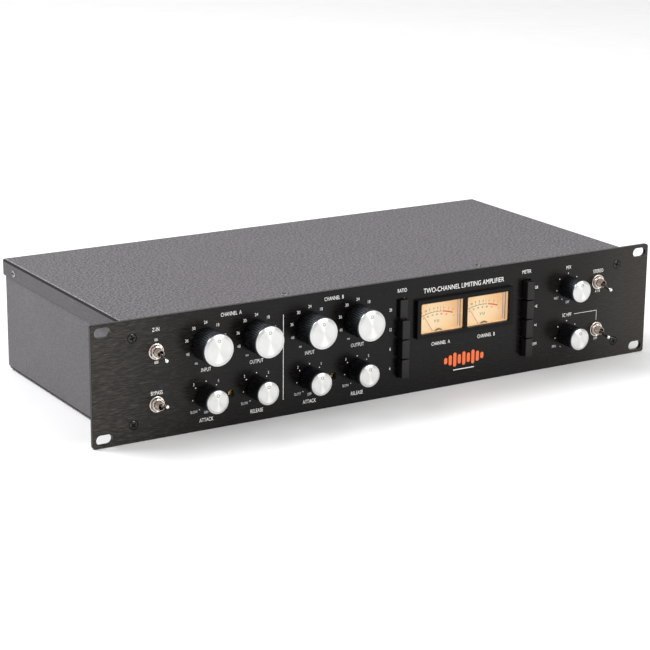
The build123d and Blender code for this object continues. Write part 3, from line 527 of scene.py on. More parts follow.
def outline_plate(bm, outline, front_y, back_y):
    """Flat shape with an outline of (x, z) points, between two planes of constant y."""
    front = [bm.verts.new((x, front_y, z)) for x, z in outline]
    back = [bm.verts.new((x, back_y, z)) for x, z in outline]
    bm.faces.new(front)
    bm.faces.new(reversed(back))
    for i in range(len(outline)):
        j = (i + 1) % len(outline)
        bm.faces.new((front[i], back[i], back[j], front[j]))


def skin_rows(bm, rows):
    """Closed rod through rows of four vertices, capped at both ends."""
    for row, following in zip(rows, rows[1:]):
        for i in range(4):
            j = (i + 1) % 4
            bm.faces.new((row[i], row[j], following[j], following[i]))
    bm.faces.new(rows[0])
    bm.faces.new(reversed(rows[-1]))


def lettering(bm, text, x, z, height, y, thickness=2 * INK_HALF, back=False, width=CONDENSED, weight=0.0):
    """Thin solid letters on a plane of constant y, facing the front (or the back)."""
    curve = bpy.data.curves.new("letters", "FONT")
    curve.body = text
    curve.size = height / CAP_HEIGHT
    curve.align_x = "CENTER"
    curve.align_y = "CENTER"
    curve.extrude = thickness / 2
    curve.offset = weight * curve.size
    holder = add_object("letters", curve)
    bpy.context.view_layer.update()
    mesh = bpy.data.meshes.new_from_object(holder.evaluated_get(bpy.context.evaluated_depsgraph_get()))
    turn = rotation("Z", 180 if back else 0) @ rotation("X", 90)
    mesh.transform(Matrix.Translation((x, y, z)) @ turn @ Matrix.Diagonal((width, 1.0, 1.0, 1.0)))
    bm.from_mesh(mesh)
    bpy.data.objects.remove(holder)
    bpy.data.curves.remove(curve)
    bpy.data.meshes.remove(mesh)


def disc(bm, x, z, radius):
    """Small printed dot."""
    made = bmesh.ops.create_cone(bm, cap_ends=True, segments=20, radius1=radius, radius2=radius,
                                 depth=2 * INK_HALF)
    turn = Matrix.Translation((x, INK_Y, z)) @ rotation("X", 90)
    bmesh.ops.transform(bm, matrix=turn, verts=made["verts"])


def stadium(bm, x, z, width, height, steps=10):
    """Upright printed bar with round ends."""
    radius, straight = width / 2, height / 2 - width / 2
    rim = []
    for i in range(2 * steps + 2):
        turn = math.pi * (i % (steps + 1)) / steps
        sign = 1 if i <= steps else -1
        rim.append((x + sign * radius * math.cos(turn), z + sign * (straight + radius * math.sin(turn))))
    outline_plate(bm, rim, INK_Y - INK_HALF, INK_Y + INK_HALF)


def printed_line(bm, low_x, low_z, high_x, high_z):
    """Straight printed line between two corners on the panel."""
    bar(bm, (low_x, INK_Y - INK_HALF, low_z), (high_x, INK_Y + INK_HALF, high_z))


def bodies_ending(suffix):
    """Names of the bodies that end in a suffix, without it."""
    return [name[:-len(suffix)] for name in frame["bodies"] if name.endswith(suffix)]


def middle_of(node):
    """(x, z) of the middle of a CAD node."""
    low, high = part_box(node)
    return (low.x + high.x) / 2, (low.z + high.z) / 2


# -------- knobs

KNOBS = bodies_ending("_control")
LARGE_KNOBS = [name for name in KNOBS if name.startswith(("input", "output"))]


def ribbed(radius, y, ribs, depth):
    """A profile entry whose radius dips into a groove between rounded ribs."""
    return lambda a: (radius - depth * (1 - abs(math.sin(ribs * a / 2)) ** 0.6), y)


def knob(name):
    """Ribbed black skirt, spun cap, marker ring and shaft for one control."""
    body = name + "_control"
    centre = axis_of(body)
    large = name in LARGE_KNOBS
    skirt_low, skirt_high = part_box(name + "_knob")
    cap_low, cap_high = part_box(name + "_cap")
    seat, back, front = skirt_low.y, skirt_high.y, cap_low.y
    rim_r = (skirt_high.x - skirt_low.x) / 2
    cap_r = (cap_high.x - cap_low.x) / 2
    ribs, depth = (40, 0.8 * MM) if large else (30, 0.7 * MM)
    body_r = rim_r - 0.3 * MM
    hollow_r = rim_r - (3.6 * MM if large else 2.0 * MM)
    rim_y = seat + 1.9 * MM
    skirt = [(hollow_r, back), (body_r - 0.7 * MM, back),
             ribbed(body_r - 0.3 * MM, back - 0.25 * MM, ribs, depth * 0.4),
             ribbed(body_r, back - 0.7 * MM, ribs, depth), ribbed(body_r, rim_y + 0.5 * MM, ribs, depth),
             ribbed(body_r - 0.15 * MM, rim_y + 0.12 * MM, ribs, depth * 0.5), (body_r - 0.35 * MM, rim_y),
             (rim_r - 0.12 * MM, rim_y), (rim_r, rim_y - 0.15 * MM), (rim_r, seat + 0.35 * MM),
             (rim_r - 0.1 * MM, seat + 0.12 * MM), (rim_r - 0.3 * MM, seat), (cap_r + 0.06 * MM, seat),
             (cap_r + 0.06 * MM, seat + 0.75 * MM), (3.05 * MM, seat + 0.75 * MM),
             (3.05 * MM, back - 4.4 * MM), (hollow_r, back - 4.4 * MM)]
    piece(name + "_ribbed_skirt", lathe(skirt, centre, ribs * 8), "knob_black", body,
          [name + "_knob"], 40)
    bevel = (1.9 if large else 1.5) * MM
    drop = 0.5 * MM
    face = front + 0.02 * MM
    cap = [(0, seat + 0.74 * MM), (cap_r, seat + 0.74 * MM), (cap_r, front + drop + 0.08 * MM),
           (cap_r - 0.05 * MM, front + drop), (cap_r - bevel, face + 0.04 * MM),
           (cap_r - bevel - 0.12 * MM, face), (cap_r * 0.4, face), (0, face)]
    piece(name + "_spun_cap", lathe(cap, centre, 128), "spun_aluminium", body,
          [name + "_cap"], 12)
    marker_z = centre[1] + (6.8 if large else 4.8) * MM
    groove = profile_mm(front, (0.75, 0.1), (0.75, 0.005), (1.2, 0.005), (1.2, 0.1))
    piece(name + "_marker", lathe(groove, (centre[0], marker_z), 40), "engraved", body)
    shaft = [(0, seat + 0.78 * MM), (2.6 * MM, seat + 0.78 * MM), (3.0 * MM, seat + 1.2 * MM),
             (3.0 * MM, cap_high.y), (0, cap_high.y)]
    piece(name + "_shaft", lathe(shaft, centre, 32), "pot_steel", body)


for control in KNOBS:
    knob(control)

# -------- toggles


def hex_entry(across_flats, circle_r, y, slope):
    """Profile entry on a hexagon, drawn back from the face where it passes the chamfer circle."""
    def entry(angle):
        turned = (angle % (math.pi / 3)) - math.pi / 6
        radius = across_flats / 2 / math.cos(turned)
        return radius, y + max(0.0, radius - circle_r) * slope
    return entry


def toggle(name):
    """Bat lever with a bright tip, threaded bush, round washer, chamfered nut and switch body."""
    body = name + "_toggle"
    x, pivot_y, z = JOINT[body]["pos_m"]
    upward = JOINT[body]["range_deg"][1] > 0
    tilt = 12.5 if upward else -12.5
    bat = [(0, 2.8), (0.8, 2.8), (0.8, 1.75), (1.4, 1.3), (1.85, 0.45), (1.85, -0.45), (1.45, -1.2),
           (1.26, -1.7), (1.26, -3.0), (1.28, -5.0), (1.32, -7.5), (1.40, -10.0), (1.44, -11.0), (0, -11.0)]
    tip = [(0, -11.02), (1.44, -11.02), (1.50, -11.6), (1.46, -12.3), (1.30, -12.9), (1.0, -13.3),
           (0.55, -13.5), (0, -13.55)]
    place = Matrix.Translation((x, pivot_y, z)) @ rotation("X", -tilt)
    for part, profile, finish, stands_for in (("_bat_lever", bat, "chrome_shaft", [name + "_lever"]),
                                              ("_lever_tip", tip, "chrome", ())):
        bm = lathe(profile_mm(0, *profile), (0, 0), 40)
        bmesh.ops.transform(bm, matrix=place, verts=bm.verts)
        piece(name + part, bm, finish, body, stands_for, 30)
    front = FACE - 7.0 * MM
    thread = [(2.3 * MM, front), (2.75 * MM, front)]
    turns, pitch = 11, 0.38 * MM
    for turn in range(turns):
        y = front + 0.3 * MM + turn * pitch
        thread += [(3.0 * MM, y), (2.78 * MM, y + pitch / 2)]
    thread += [(2.95 * MM, FACE - 2.6 * MM), (2.95 * MM, 0.2 * MM), (2.3 * MM, 0.2 * MM)]
    centre = (x, z)
    piece(name + "_bush", lathe(thread, centre, 48), "nickel_shade", STATIC, smooth_deg=20)
    rear, terminal_rear = 10.5 * MM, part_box("toggle_switches")[1].y
    bm = bevelled_block((x - 4 * MM, 0.25 * MM, z - 6.5 * MM), (x + 4 * MM, rear, z + 6.5 * MM), 0.4 * MM)
    piece(name + "_switch_case", bm, "switch_red", STATIC)
    plate = bevelled_block((x - 4.2 * MM, 0.02 * MM, z - 6.6 * MM), (x + 4.2 * MM, 0.6 * MM, z + 6.6 * MM),
                           0.1 * MM)
    piece(name + "_switch_plate", plate, "pot_steel", STATIC)
    pins = bmesh.new()
    for dz in (-4.7, 0.0, 4.7):
        bevelled_block((x - 1 * MM, rear - 0.5 * MM, z + (dz - 0.4) * MM),
                       (x + 1 * MM, terminal_rear, z + (dz + 0.4) * MM), 0.12 * MM, 2, pins)
    piece(name + "_terminals", pins, "pot_steel", STATIC)
    washer = profile_mm(FACE, (3.1, 0), (5.9, 0), (5.9, -0.45), (5.75, -0.7), (5.35, -0.8), (5.0, -0.74),
                        (4.75, -0.55), (3.1, -0.55))
    piece(name + "_washer", lathe(washer, centre, 96), "nickel", STATIC, smooth_deg=50)
    low, high = FACE - 0.8 * MM, FACE - 2.8 * MM
    nut = [(3.08 * MM, low), hex_entry(8 * MM, 4.0 * MM, low, -0.35), hex_entry(8 * MM, 4.0 * MM, high, 0.55),
           (3.95 * MM, high), (3.35 * MM, high), (3.08 * MM, high + 0.25 * MM)]
    return piece(name + "_nut", lathe(nut, centre, 72), "nickel", STATIC, smooth_deg=25)


nuts = [toggle(name) for name in bodies_ending("_toggle")]
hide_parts("toggle_nuts", "toggle_switches")

# -------- push buttons

for name in bodies_ending("_switch"):
    body, node = name + "_switch", name + "_button"
    low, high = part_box(node)
    cap_back = low.y + 9.0 * MM
    x, z = middle_of(node)
    bm = bmesh.new()
    bar(bm, (x - 1.5 * MM, cap_back - 0.3 * MM, z - 2 * MM), (x + 1.5 * MM, high.y, z + 2 * MM))
    bevelled_block((low.x, low.y, low.z), (high.x, cap_back, high.z), 0.35 * MM, bm=bm)
    piece(node + "_moulding", bm, "button_black", body, [node])

# -------- legends

TEXT = 2.8 * MM
NUMBER = 2.3 * MM
SMALL_TEXT = 2.0 * MM
SWEEP = 150  # degrees that a knob turns each way
LARGE_SCALE = ("∞", "48", "36", "30", "24", "18", "12", "6", "0")
SMALL_DOTS = 7

# Marks round a small knob are (word, degrees from the top, radius in mm).
# Lines over or under a control are (word, height above its axis in mm, letter height).
SPEED_MARKS = (("SLOW", -137, 14.4), ("3", -46, 13.6), ("5", 46, 13.6), ("FAST", 137, 14.4))
SMALL_KNOB_PRINT = {
    "attack": (SPEED_MARKS, (("OFF", -12.1, SMALL_TEXT), ("ATTACK", -17.6, TEXT))),
    "release": (SPEED_MARKS, (("RELEASE", -17.6, TEXT),)),
    "mix": ((("DRY", 126, 13.6), ("WET", -126, 13.6)), (("OFF", -12.3, SMALL_TEXT), ("MIX", 15.3, TEXT))),
    "filter": ((("30Hz", -126, 14.2), ("300Hz", 126, 15.0)), (("SC HPF", 15.4, TEXT),)),
}
TOGGLE_PRINT = {
    "impedance": (("Z-IN", 15.6, TEXT), ("10k", 8.3, SMALL_TEXT), ("600", -7.9, SMALL_TEXT)),
    "bypass": (("BYPASS", 8.1, TEXT),),
    "stereo": (("STEREO", 8.8, TEXT), ("A + B", -7.3, SMALL_TEXT)),
    "sidechain": (("OFF", -7.5, SMALL_TEXT),),
}
BANK_PRINT = {
    "ratio": ("RATIO", ("20", "12", "8", "4"), -1),
    "meter": ("METER", ("GR", "+8", "+4", "OFF"), 1),
}


def scale_point(centre, radius, degrees):
    """Point on a dial ring, clockwise from the top."""
    a = math.radians(degrees)
    return centre[0] + radius * math.sin(a), centre[1] + radius * math.cos(a)


def word_lines(bm, centre, lines):
    """Words over or under a control."""
    for word, up, height in lines:
        lettering(bm, word, centre[0], centre[1] + up * MM, height, INK_Y)


def large_dial(bm, centre):
    """Ring of numbers round a large knob."""
    for i, word in enumerate(LARGE_SCALE):
        x, z = scale_point(centre, 15.4 * MM, -SWEEP + 2 * SWEEP * i / (len(LARGE_SCALE) - 1))
        lettering(bm, word, x, z, NUMBER, INK_Y, width=0.85)


def small_dial(bm, centre, marks):
    """Ring of dots round a small knob, with words at chosen angles."""
    for i in range(SMALL_DOTS):
        x, z = scale_point(centre, 10.8 * MM, -SWEEP + 2 * SWEEP * i / (SMALL_DOTS - 1))
        disc(bm, x, z, 0.42 * MM)
    for word, degrees, radius in marks:
        x, z = scale_point(centre, radius * MM, degrees)
        lettering(bm, word, x, z, SMALL_TEXT, INK_Y)


def knob_print(bm):
    """Scales and names of the ten knobs."""
    for name in KNOBS:
        centre = axis_of(name + "_control")
        kind = name.split("_")[0]
        if name in LARGE_KNOBS:
            large_dial(bm, centre)
            names = ((kind.upper(), -18.9, TEXT),)
        else:
            marks, names = SMALL_KNOB_PRINT[kind]
            small_dial(bm, centre, marks)
        word_lines(bm, centre, names)


def channel_print(bm):
    """The two channels' titles, and the upright line between their halves."""
    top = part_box("front_panel")[1].z - 5.9 * MM
    for channel in ("a", "b"):
        left = axis_of(f"input_{channel}_control")[0]
        right = axis_of(f"output_{channel}_control")[0]
        lettering(bm, "CHANNEL  " + channel.upper(), (left + right) / 2, top, TEXT, INK_Y)
    middle = (axis_of("output_a_control")[0] + axis_of("input_b_control")[0]) / 2
    printed_line(bm, middle - 0.21 * MM, -31.7 * MM, middle + 0.21 * MM, 31.7 * MM)


def bank_print(bm):
    """Each button's word at its side, and each bank's title."""
    for bank, (title, words, side) in BANK_PRINT.items():
        rows = sorted((name for name in NODES if name.startswith(bank) and name.endswith("_button")),
                      key=lambda name: -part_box(name)[0].z)
        for name, word in zip(rows, words):
            x, z = middle_of(name)
            lettering(bm, word, x + side * 9.9 * MM, z, NUMBER, INK_Y)
        lettering(bm, title, x, 36.1 * MM, TEXT, INK_Y)


def toggle_print(bm):
    """Words at the toggles, and the line that ties the filter's knob to its switch."""
    for name, names in TOGGLE_PRINT.items():
        word_lines(bm, axis_of(name + "_toggle"), names)
    x, z = axis_of("sidechain_toggle")
    left = axis_of("filter_control")[0] + 7.0 * MM
    thin, foot, head = 0.3 * MM, z + 7.6 * MM, z + 15.2 * MM
    printed_line(bm, left, head, x, head + thin)
    printed_line(bm, x - thin, foot, x, head)


def meter_print(bm):
    """Channel names under the meters, and the title over them."""
    for channel in ("a", "b"):
        x, _ = axis_of(f"needle_{channel}_movement")
        lettering(bm, "CHANNEL  " + channel.upper(), x + 0.6 * MM, -8.9 * MM, TEXT, INK_Y)
    lettering(bm, "TWO-CHANNEL LIMITING AMPLIFIER", middle_of("meter_bezel")[0], 32.9 * MM, 3.7 * MM,
              INK_Y, width=0.83)


def emblem():
    """Generic orange mark: a row of level bars over a fine white line."""
    middle = middle_of("meter_bezel")[0] + 1.4 * MM
    bm = bmesh.new()
    heights = (5.0, 8.0, 11.0, 7.5, 10.5, 7.5, 11.0, 8.0, 5.0)
    pitch, width = 4.15 * MM, 2.9 * MM
    z = -24.0 * MM
    for i, height in enumerate(heights):
        x = middle + (i - (len(heights) - 1) / 2) * pitch
        stadium(bm, x, z, width, height * MM)
    piece("front_emblem", bm, "print_orange", STATIC, smooth_deg=20)
    line = bmesh.new()
    printed_line(line, middle - 9.5 * MM, -32.4 * MM, middle + 9.5 * MM, -31.8 * MM)
    piece("front_emblem_line", line, "print_white", STATIC, smooth_deg=20)


print_mesh = bmesh.new()
for draw in (knob_print, channel_print, bank_print, toggle_print, meter_print):
    draw(print_mesh)
piece("front_legends", print_mesh, "print_white", STATIC, smooth_deg=20)
emblem()

# -------- meters

DIAL_ARC_R = 41.2 * MM
DIAL_ARC_Z = -27.0 * MM


def arc_band(bm, x, start_deg, end_deg, inner, outer, y, steps=40):
    """Thin curved band about the dial's arc centre."""
    thick = 0.02 * MM
    rows = []
    for i in range(steps + 1):
        a = math.radians(start_deg + (end_deg - start_deg) * i / steps)
        rows.append([bm.verts.new((x + r * math.sin(a), y + dy, DIAL_ARC_Z + r * math.cos(a)))
                     for r, dy in ((inner, -thick), (outer, -thick), (outer, thick), (inner, thick))])
    skin_rows(bm, rows)


def dial_tick(bm, x, degrees, inner, outer, width, y):
    """Short mark that crosses the dial's arc."""
    half = math.degrees(width / 2 / outer)
    arc_band(bm, x, degrees - half, degrees + half, inner, outer, y, 1)


def dial_word(bm, word, x, degrees, radius, height, y):
    """Upright word or number on a ring about the dial's arc centre."""
    word_x, word_z = scale_point((x, DIAL_ARC_Z), radius, degrees)
    lettering(bm, word, word_x, word_z, height, y, 0.02 * MM, width=0.95, weight=0.02)


def dial_print(channel):
    """Scale arcs, ticks, numbers and the unit's letters on one dial."""
    x, _ = axis_of(f"needle_{channel}_movement")
    y = DIAL_LOW.y - 0.03 * MM
    ink, red = bmesh.new(), bmesh.new()
    arc_band(ink, x, -20.4, 6.4, DIAL_ARC_R - 0.16 * MM, DIAL_ARC_R + 0.16 * MM, y)
    arc_band(red, x, 7.6, 20.4, DIAL_ARC_R - 0.45 * MM, DIAL_ARC_R + 0.45 * MM, y)
    black_marks = ((-18.6, "20"), (-13.2, "10"), (-8.4, "7"), (-3.4, "5"), (1.0, "3"), (4.6, "1"))
    red_marks = ((8.4, "0"), (14.4, "2"), (19.6, "3"))
    for bm, width, marks in ((ink, 0.22 * MM, black_marks), (red, 0.26 * MM, red_marks)):
        for degrees, word in marks:
            dial_tick(bm, x, degrees, DIAL_ARC_R, DIAL_ARC_R + 1.3 * MM, width, y)
            dial_word(bm, word, x, degrees, DIAL_ARC_R + 2.6 * MM, 1.5 * MM, y)
    for i, word in enumerate(("0", "20", "40", "60", "80")):
        dial_word(ink, word, x, -17.6 + 6.0 * i, DIAL_ARC_R - 2.2 * MM, 1.1 * MM, y)
    dial_word(red, "100", x, 13.0, DIAL_ARC_R - 2.2 * MM, 1.1 * MM, y)
    lettering(ink, "V U", x + 0.2 * MM, 6.9 * MM, 2.0 * MM, y, width=1.0, weight=0.01)
    lettering(ink, "-", x - 15.4 * MM, 8.9 * MM, 1.6 * MM, y, width=1.0)
    lettering(red, "+", x + 15.4 * MM, 8.9 * MM, 1.8 * MM, y, width=1.0)
    piece(f"dial_{channel}_ink", ink, "dial_black", STATIC, smooth_deg=20)
    piece(f"dial_{channel}_red_ink", red, "dial_red", STATIC, smooth_deg=20)


def needle(channel):
    """Fine tapered pointer with a thicker root, hub and coil, turned to its left stop."""
    node = "needle_" + channel
    body = node + "_movement"
    x, _, pivot_z = JOINT[body]["pos_m"]
    low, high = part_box(node)
    blade_y = low.y + 0.2 * MM
    bm = bmesh.new()
    outline = [(-0.45, -4.5), (0.45, -4.5), (0.45, 6.0), (0.16, 9.0), (0.1, 22.9), (-0.1, 22.9),
               (-0.16, 9.0), (-0.45, 6.0)]
    outline_plate(bm, [(px * MM, pz * MM) for px, pz in outline], blade_y, blade_y + 0.28 * MM)
    hub = [(0, low.y), (0.9 * MM, low.y), (1.2 * MM, low.y + 0.3 * MM), (1.2 * MM, 8 * MM),
           (3.8 * MM, 8 * MM), (4.0 * MM, 8.3 * MM), (4.0 * MM, high.y - 0.2 * MM), (3.8 * MM, high.y),
           (0, high.y)]
    lathe(hub, (0, 0), 40, bm)
    turn = Matrix.Translation((x, 0, pivot_z)) @ rotation("Y", -33)
    bmesh.ops.transform(bm, matrix=turn, verts=bm.verts)
    piece(node + "_pointer", bm, "needle_red", body, [node], 30)


def meter_fittings(channel):
    """Frosted strip on the inner side wall, glowing with painted light, and the arched cover over the pivot.
    """
    x, _ = axis_of(f"needle_{channel}_movement")
    dial_y = DIAL_LOW.y
    low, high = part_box("meter_lenses")
    wall = 18.9 * MM
    foot, head = low.z + 1.4 * MM, high.z - 1.4 * MM
    strip = bevelled_block((x + wall, dial_y - 3.1 * MM, foot),
                           (x + wall + 0.35 * MM, dial_y - 0.5 * MM, head), 0.1 * MM, 2)
    piece(f"meter_{channel}_side_strip", strip, "reflector", STATIC)
    edge = bmesh.new()
    for y in (dial_y - 3.35 * MM, dial_y - 0.45 * MM):
        bar(edge, (x + wall - 0.05 * MM, y, foot), (x + wall + 0.3 * MM, y + 0.22 * MM, head))
    piece(f"meter_{channel}_strip_edges", edge, "strip_edge", STATIC)
    arch = bmesh.new()
    inner, outer, front, back = 2.7 * MM, 3.9 * MM, -0.35 * MM, 0.15 * MM
    steps, half_angle, flatten = 24, 62, 0.86
    rows = []
    for i in range(steps + 1):
        a = math.radians(-half_angle + 2 * half_angle * i / steps)
        rows.append([arch.verts.new((x + r * math.sin(a), y, -1.45 * MM + r * math.cos(a) * flatten))
                     for r, y in ((inner, back), (inner, front), (outer, front), (outer, back))])
    skin_rows(arch, rows)
    piece(f"meter_{channel}_pivot_cover", arch, "engraved", STATIC)


for letter in ("a", "b"):
    dial_print(letter)
    needle(letter)
    meter_fittings(letter)

# -------- screws

FACING_FRONT = rotation("Z", 180)
FACING_REAR = Matrix.Identity(4)
FACING_UP = rotation("X", 90)


def screw_at(heads, crosses, place, turn, head_r, length, twist):
    """Domed cross-head screw whose seat plane is at place; the cross is a dark inlay, a painted shadow for
    the recess.
    """
    rise, shank_r = 0.18 * head_r, 1.5 * MM
    shell = bmesh.new()
    dome = [(head_r * math.sin(math.radians(a)), rise * math.cos(math.radians(a))) for a in range(90, 0, -10)]
    profile = [(0, -length), (shank_r, -length), (shank_r, -head_r * 0.6), (head_r, -0.15 * MM)]
    lathe(profile + dome + [(0, rise)], (0, 0), 40, shell)
    cross = bmesh.new()
    arm, width = head_r * 0.70, head_r * 0.27
    lift = rise + 0.015 * MM
    bevelled_block((-arm, -0.3 * MM, -width), (arm, lift, width), width * 0.4, 2, cross)
    bevelled_block((-width, -0.3 * MM, -arm), (width, lift, arm), width * 0.4, 2, cross)
    spin = rotation("Y", twist)
    for target, source in ((heads, shell), (crosses, cross)):
        bmesh.ops.transform(source, matrix=Matrix.Translation(place) @ turn @ spin, verts=source.verts)
        mesh = bpy.data.meshes.new("part")
        source.to_mesh(mesh)
        source.free()
        target.from_mesh(mesh)
        bpy.data.meshes.remove(mesh)


def screw_pieces(kind, places, head_r, length, twist, twist_step):
    """All screws of one kind, as a piece of heads and a piece of crosses."""
    heads, crosses = bmesh.new(), bmesh.new()
    for i, (place, turn) in enumerate(places):
        screw_at(heads, crosses, place, turn, head_r, length, twist + twist_step * i)
    piece(kind + "_heads", heads, kind, STATIC, [kind + "s"], 30)
    piece(kind + "_crosses", crosses, "recess", STATIC, smooth_deg=30)


def panel_places():
    """Seats of the four screws near the panel's corners."""
    return [((sx * 210.3 * MM, FACE + 0.2 * MM, sz * 31.1 * MM), FACING_FRONT)
            for sx in (-1, 1) for sz in (1, -1)]


def case_places():
    """Seats of the cover's screws, and of those in the flanges at the rear."""
    cover_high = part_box("top_cover")[1]
    places = [((sx * 84 * MM, 8.2 * MM, cover_high.z), FACING_UP) for sx in (-1, 1)]
    places += [((sx * cover_high.x, 184 * MM, 35.5 * MM), rotation("Z", -90 * sx)) for sx in (-1, 1)]
    places += [((x * MM, cover_high.y, 35.5 * MM), FACING_REAR) for x in (-180, 0, 180)]
    places += [(((x + s * 9.5) * MM, FLANGE_FACE, s * -12 * MM), FACING_REAR) for x in XLR_X for s in (-1, 1)]
    places += [(((INLET_X + s * 20) * MM, FLANGE_FACE, 0), FACING_REAR) for s in (-1, 1)]
    return places


# -------- rear connectors

XLR_X = (-185.0, -150.0, -55.0, -20.0)
XLR_WITH_PINS = (-150.0, -20.0)
JACK_X = (-116.0, -98.0, 14.0, 32.0)
INLET_X = 165.0
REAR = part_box("chassis")[1].y
FLANGE_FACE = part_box("mains_inlet")[1].y
CONTACT_ANGLES = (30, 150, 270)


def contact_centre(x, degrees):
    """Centre of one connector contact, on a circle about the connector's axis."""
    a = math.radians(degrees)
    return x * MM + 4.1 * MM * math.cos(a), 4.1 * MM * math.sin(a)


def xlr_contacts():
    """Round-ended pins in the male shells, and plated tubes in the female inserts."""
    pins, tubes = bmesh.new(), bmesh.new()
    for x in XLR_X:
        for degrees in CONTACT_ANGLES:
            centre = contact_centre(x, degrees)
            if x in XLR_WITH_PINS:
                lathe(profile_mm(FLANGE_FACE, (0, -17.9), (1.23, -17.9), (1.23, -6.0), (0.9, -5.55),
                                 (0, -5.4)), centre, 24, pins)
            else:
                lathe(profile_mm(FLANGE_FACE, (0.95, -14.0), (1.33, -14.0), (1.33, -5.15), (0.95, -5.15)),
                      centre, 24, tubes)
    piece("xlr_pins", pins, "gold", STATIC, smooth_deg=40)
    piece("xlr_contact_tubes", tubes, "gold", STATIC, smooth_deg=40)


def xlr_trim():
    """Fine plated ring round each connector's mouth."""
    rings = bmesh.new()
    for x in XLR_X:
        lathe(profile_mm(FLANGE_FACE, (9.62, -4.5), (9.58, -0.305), (9.3, -0.305), (9.3, -4.5)),
              (x * MM, 0), 64, rings)
    piece("xlr_mouth_rings", rings, "nickel", STATIC, smooth_deg=40)


def jack_pieces():
    """Boxed jacks with threaded bushes, washers and chamfered hexagon nuts."""
    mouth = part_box("jack_sockets")[1].y
    bodies, bushes, fixings, springs = (bmesh.new() for _ in range(4))
    for x in JACK_X:
        centre = (x * MM, 0)
        bevelled_block(((x - 7) * MM, mouth - 29 * MM, -7 * MM), ((x + 7) * MM, REAR - 1.25 * MM, 7 * MM),
                       0.5 * MM, 3, bodies)
        thread = profile_mm(mouth, (3.2, -1.0), (3.5, 0), (4.3, 0))
        thread += profile_mm(mouth, *((r, -0.35 - 0.25 * i) for i, r in enumerate((4.65, 4.4) * 3)))
        thread += profile_mm(REAR, (4.6, -1.3), (3.2, -1.3))
        lathe(thread, centre, 48, bushes)
        lathe(profile_mm(REAR, (4.8, 0.01), (8.0, 0.01), (8.0, 0.45), (7.85, 0.6), (4.8, 0.6)),
              centre, 64, fixings)
        low, high = REAR + 0.6 * MM, REAR + 2.8 * MM
        lathe([(4.78 * MM, low), hex_entry(12.7 * MM, 6.4 * MM, low, 0.3),
               hex_entry(12.7 * MM, 6.4 * MM, high, -0.5), (6.3 * MM, high), (5.0 * MM, high),
               (4.78 * MM, high - 0.25 * MM)], centre, 72, fixings)
        lathe(profile_mm(mouth, (2.9, -20), (3.19, -20), (3.19, -2.5), (2.9, -2.5)), centre, 40, springs)
    piece("jack_bodies", bodies, "connector_black", STATIC, ["jack_sockets"])
    piece("jack_bushes", bushes, "nickel", STATIC, smooth_deg=20)
    piece("jack_nuts", fixings, "nickel", STATIC, smooth_deg=25)
    piece("jack_sleeves", springs, "switch_black", STATIC, smooth_deg=40)


def inlet_pins():
    """Three plated blades inside the mains inlet."""
    bm = bmesh.new()
    for dx, dz in ((-7.0, -1.0), (7.0, -1.0), (0.0, 3.0)):
        x, z = (INLET_X + dx) * MM, dz * MM
        bevelled_block((x - 1.03 * MM, FLANGE_FACE - 17.9 * MM, z - 2.03 * MM),
                       (x + 1.03 * MM, FLANGE_FACE - 5.4 * MM, z + 2.03 * MM), 0.3 * MM, 3, bm)
    piece("inlet_blades", bm, "nickel", STATIC)


def rear_print():
    """Plain words over the rear connectors."""
    ink = bmesh.new()
    words = [("INPUT A", -185.0, 20.5), ("OUTPUT A", -150.0, 20.5), ("INPUT B", -55.0, 20.5),
             ("OUTPUT B", -20.0, 20.5), ("IN", -116.0, 12.0), ("OUT", -98.0, 12.0), ("IN", 14.0, 12.0),
             ("OUT", 32.0, 12.0), ("MAINS", INLET_X, 17.0)]
    for word, x, z in words:
        lettering(ink, word, x * MM, z * MM, TEXT, REAR + INK_HALF, back=True)
    piece("rear_legends", ink, "print_white", STATIC, smooth_deg=20)


screw_pieces("panel_screw", panel_places(), 3.1 * MM, 9 * MM, 12, 31)
screw_pieces("case_screw", case_places(), 2.8 * MM, 5.5 * MM, 17, 37)
xlr_contacts()
xlr_trim()
jack_pieces()
inlet_pins()
rear_print()

# -------- carried-over nodes

SLOT_OF = {row["node"]: row["material_slot"] for row in frame["record"]["subparts"]}
for node, made in NODES.items():
    made.data.materials.clear()
    made.data.materials.append(MAT["cover_grey" if node == "top_cover" else SLOT_OF[node]])

# -------- floor, lights, camera


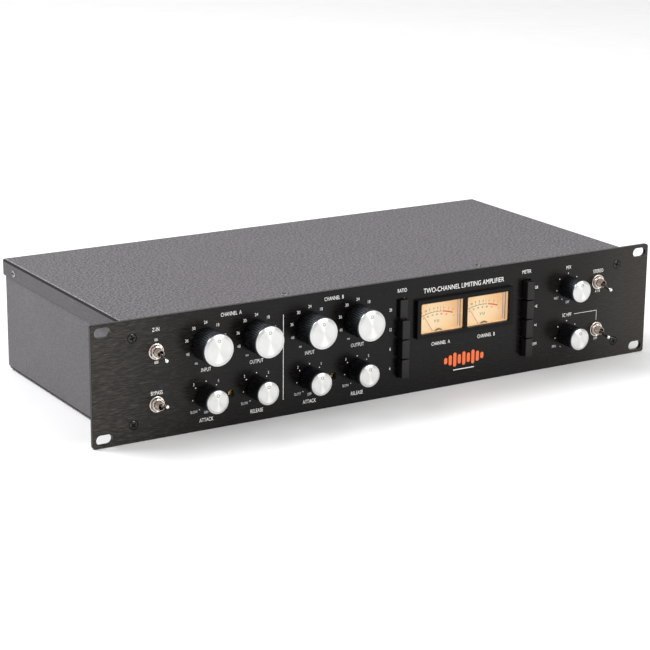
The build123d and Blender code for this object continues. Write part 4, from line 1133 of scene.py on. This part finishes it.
def floor():
    """Pale floor just under the case."""
    mesh = bpy.data.meshes.new("floor")
    half = 40.0
    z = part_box("front_panel")[0].z - 0.05 * MM
    corners = [(-half, -half, z), (half, -half, z), (half, half, z), (-half, half, z)]
    mesh.from_pydata(corners, [], [(0, 1, 2, 3)])
    made, tree, shader = material("pale_floor", (0.90, 0.90, 0.90), 0.55)
    soft = noise(tree, place_coords(tree), 0.02, 2.0)
    tree.links.new(ramp(tree, soft, grey_stops((0.3, 0.89), (0.7, 0.91))), shader.inputs["Base Color"])
    mesh.materials.append(made)
    plane = add_object("floor", mesh)
    plane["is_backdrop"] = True


def area_light(name, place, aim, size, power, colour):
    """Rectangular softbox turned towards a point."""
    data = bpy.data.lights.new(name, "AREA")
    data.shape = "RECTANGLE"
    data.size, data.size_y = size
    data.energy = power
    data.color = colour
    lamp = add_object(name, data)
    lamp.location = place
    lamp.rotation_mode = "QUATERNION"
    lamp.rotation_quaternion = (Vector(aim) - Vector(place)).to_track_quat("-Z", "Y")


def world():
    """Even white light from all round."""
    made = bpy.data.worlds.new("studio")
    made.use_nodes = True
    background = made.node_tree.nodes["Background"]
    background.inputs["Color"].default_value = (1.0, 1.0, 1.0, 1.0)
    background.inputs["Strength"].default_value = 0.73
    bpy.context.scene.world = made


def camera():
    """The photo's view, solved from the panel's standard sizes."""
    data = bpy.data.cameras.new("camera")
    data.sensor_width = 36.0
    data.lens = 114.75
    data.clip_start, data.clip_end = 0.05, 200.0
    made = add_object("camera", data)
    azimuth, elevation, roll = (math.radians(angle) for angle in (31.372, 15.843, 0.496))
    aim = Vector((math.sin(azimuth) * math.cos(elevation), math.cos(azimuth) * math.cos(elevation),
                  -math.sin(elevation)))
    made.location = (-0.80324, -1.22759, 0.42616)
    made.rotation_mode = "QUATERNION"
    made.rotation_quaternion = aim.to_track_quat("-Z", "Y") @ Matrix.Rotation(roll, 3, "Z").to_quaternion()
    bpy.context.scene.camera = made


floor()
world()
camera()
bpy.context.scene.view_settings.view_transform = "Standard"
area_light("back_softbox", (-1.5, 1.4, 2.3), (-0.05, 0.1, 0), (1.6, 1.2), 78, (0.98, 0.985, 1.0))
area_light("front_softbox", (1.1, -2.2, 1.3), (0, 0, 0), (1.5, 1.2), 44, (1.0, 0.99, 0.97))

low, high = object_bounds()
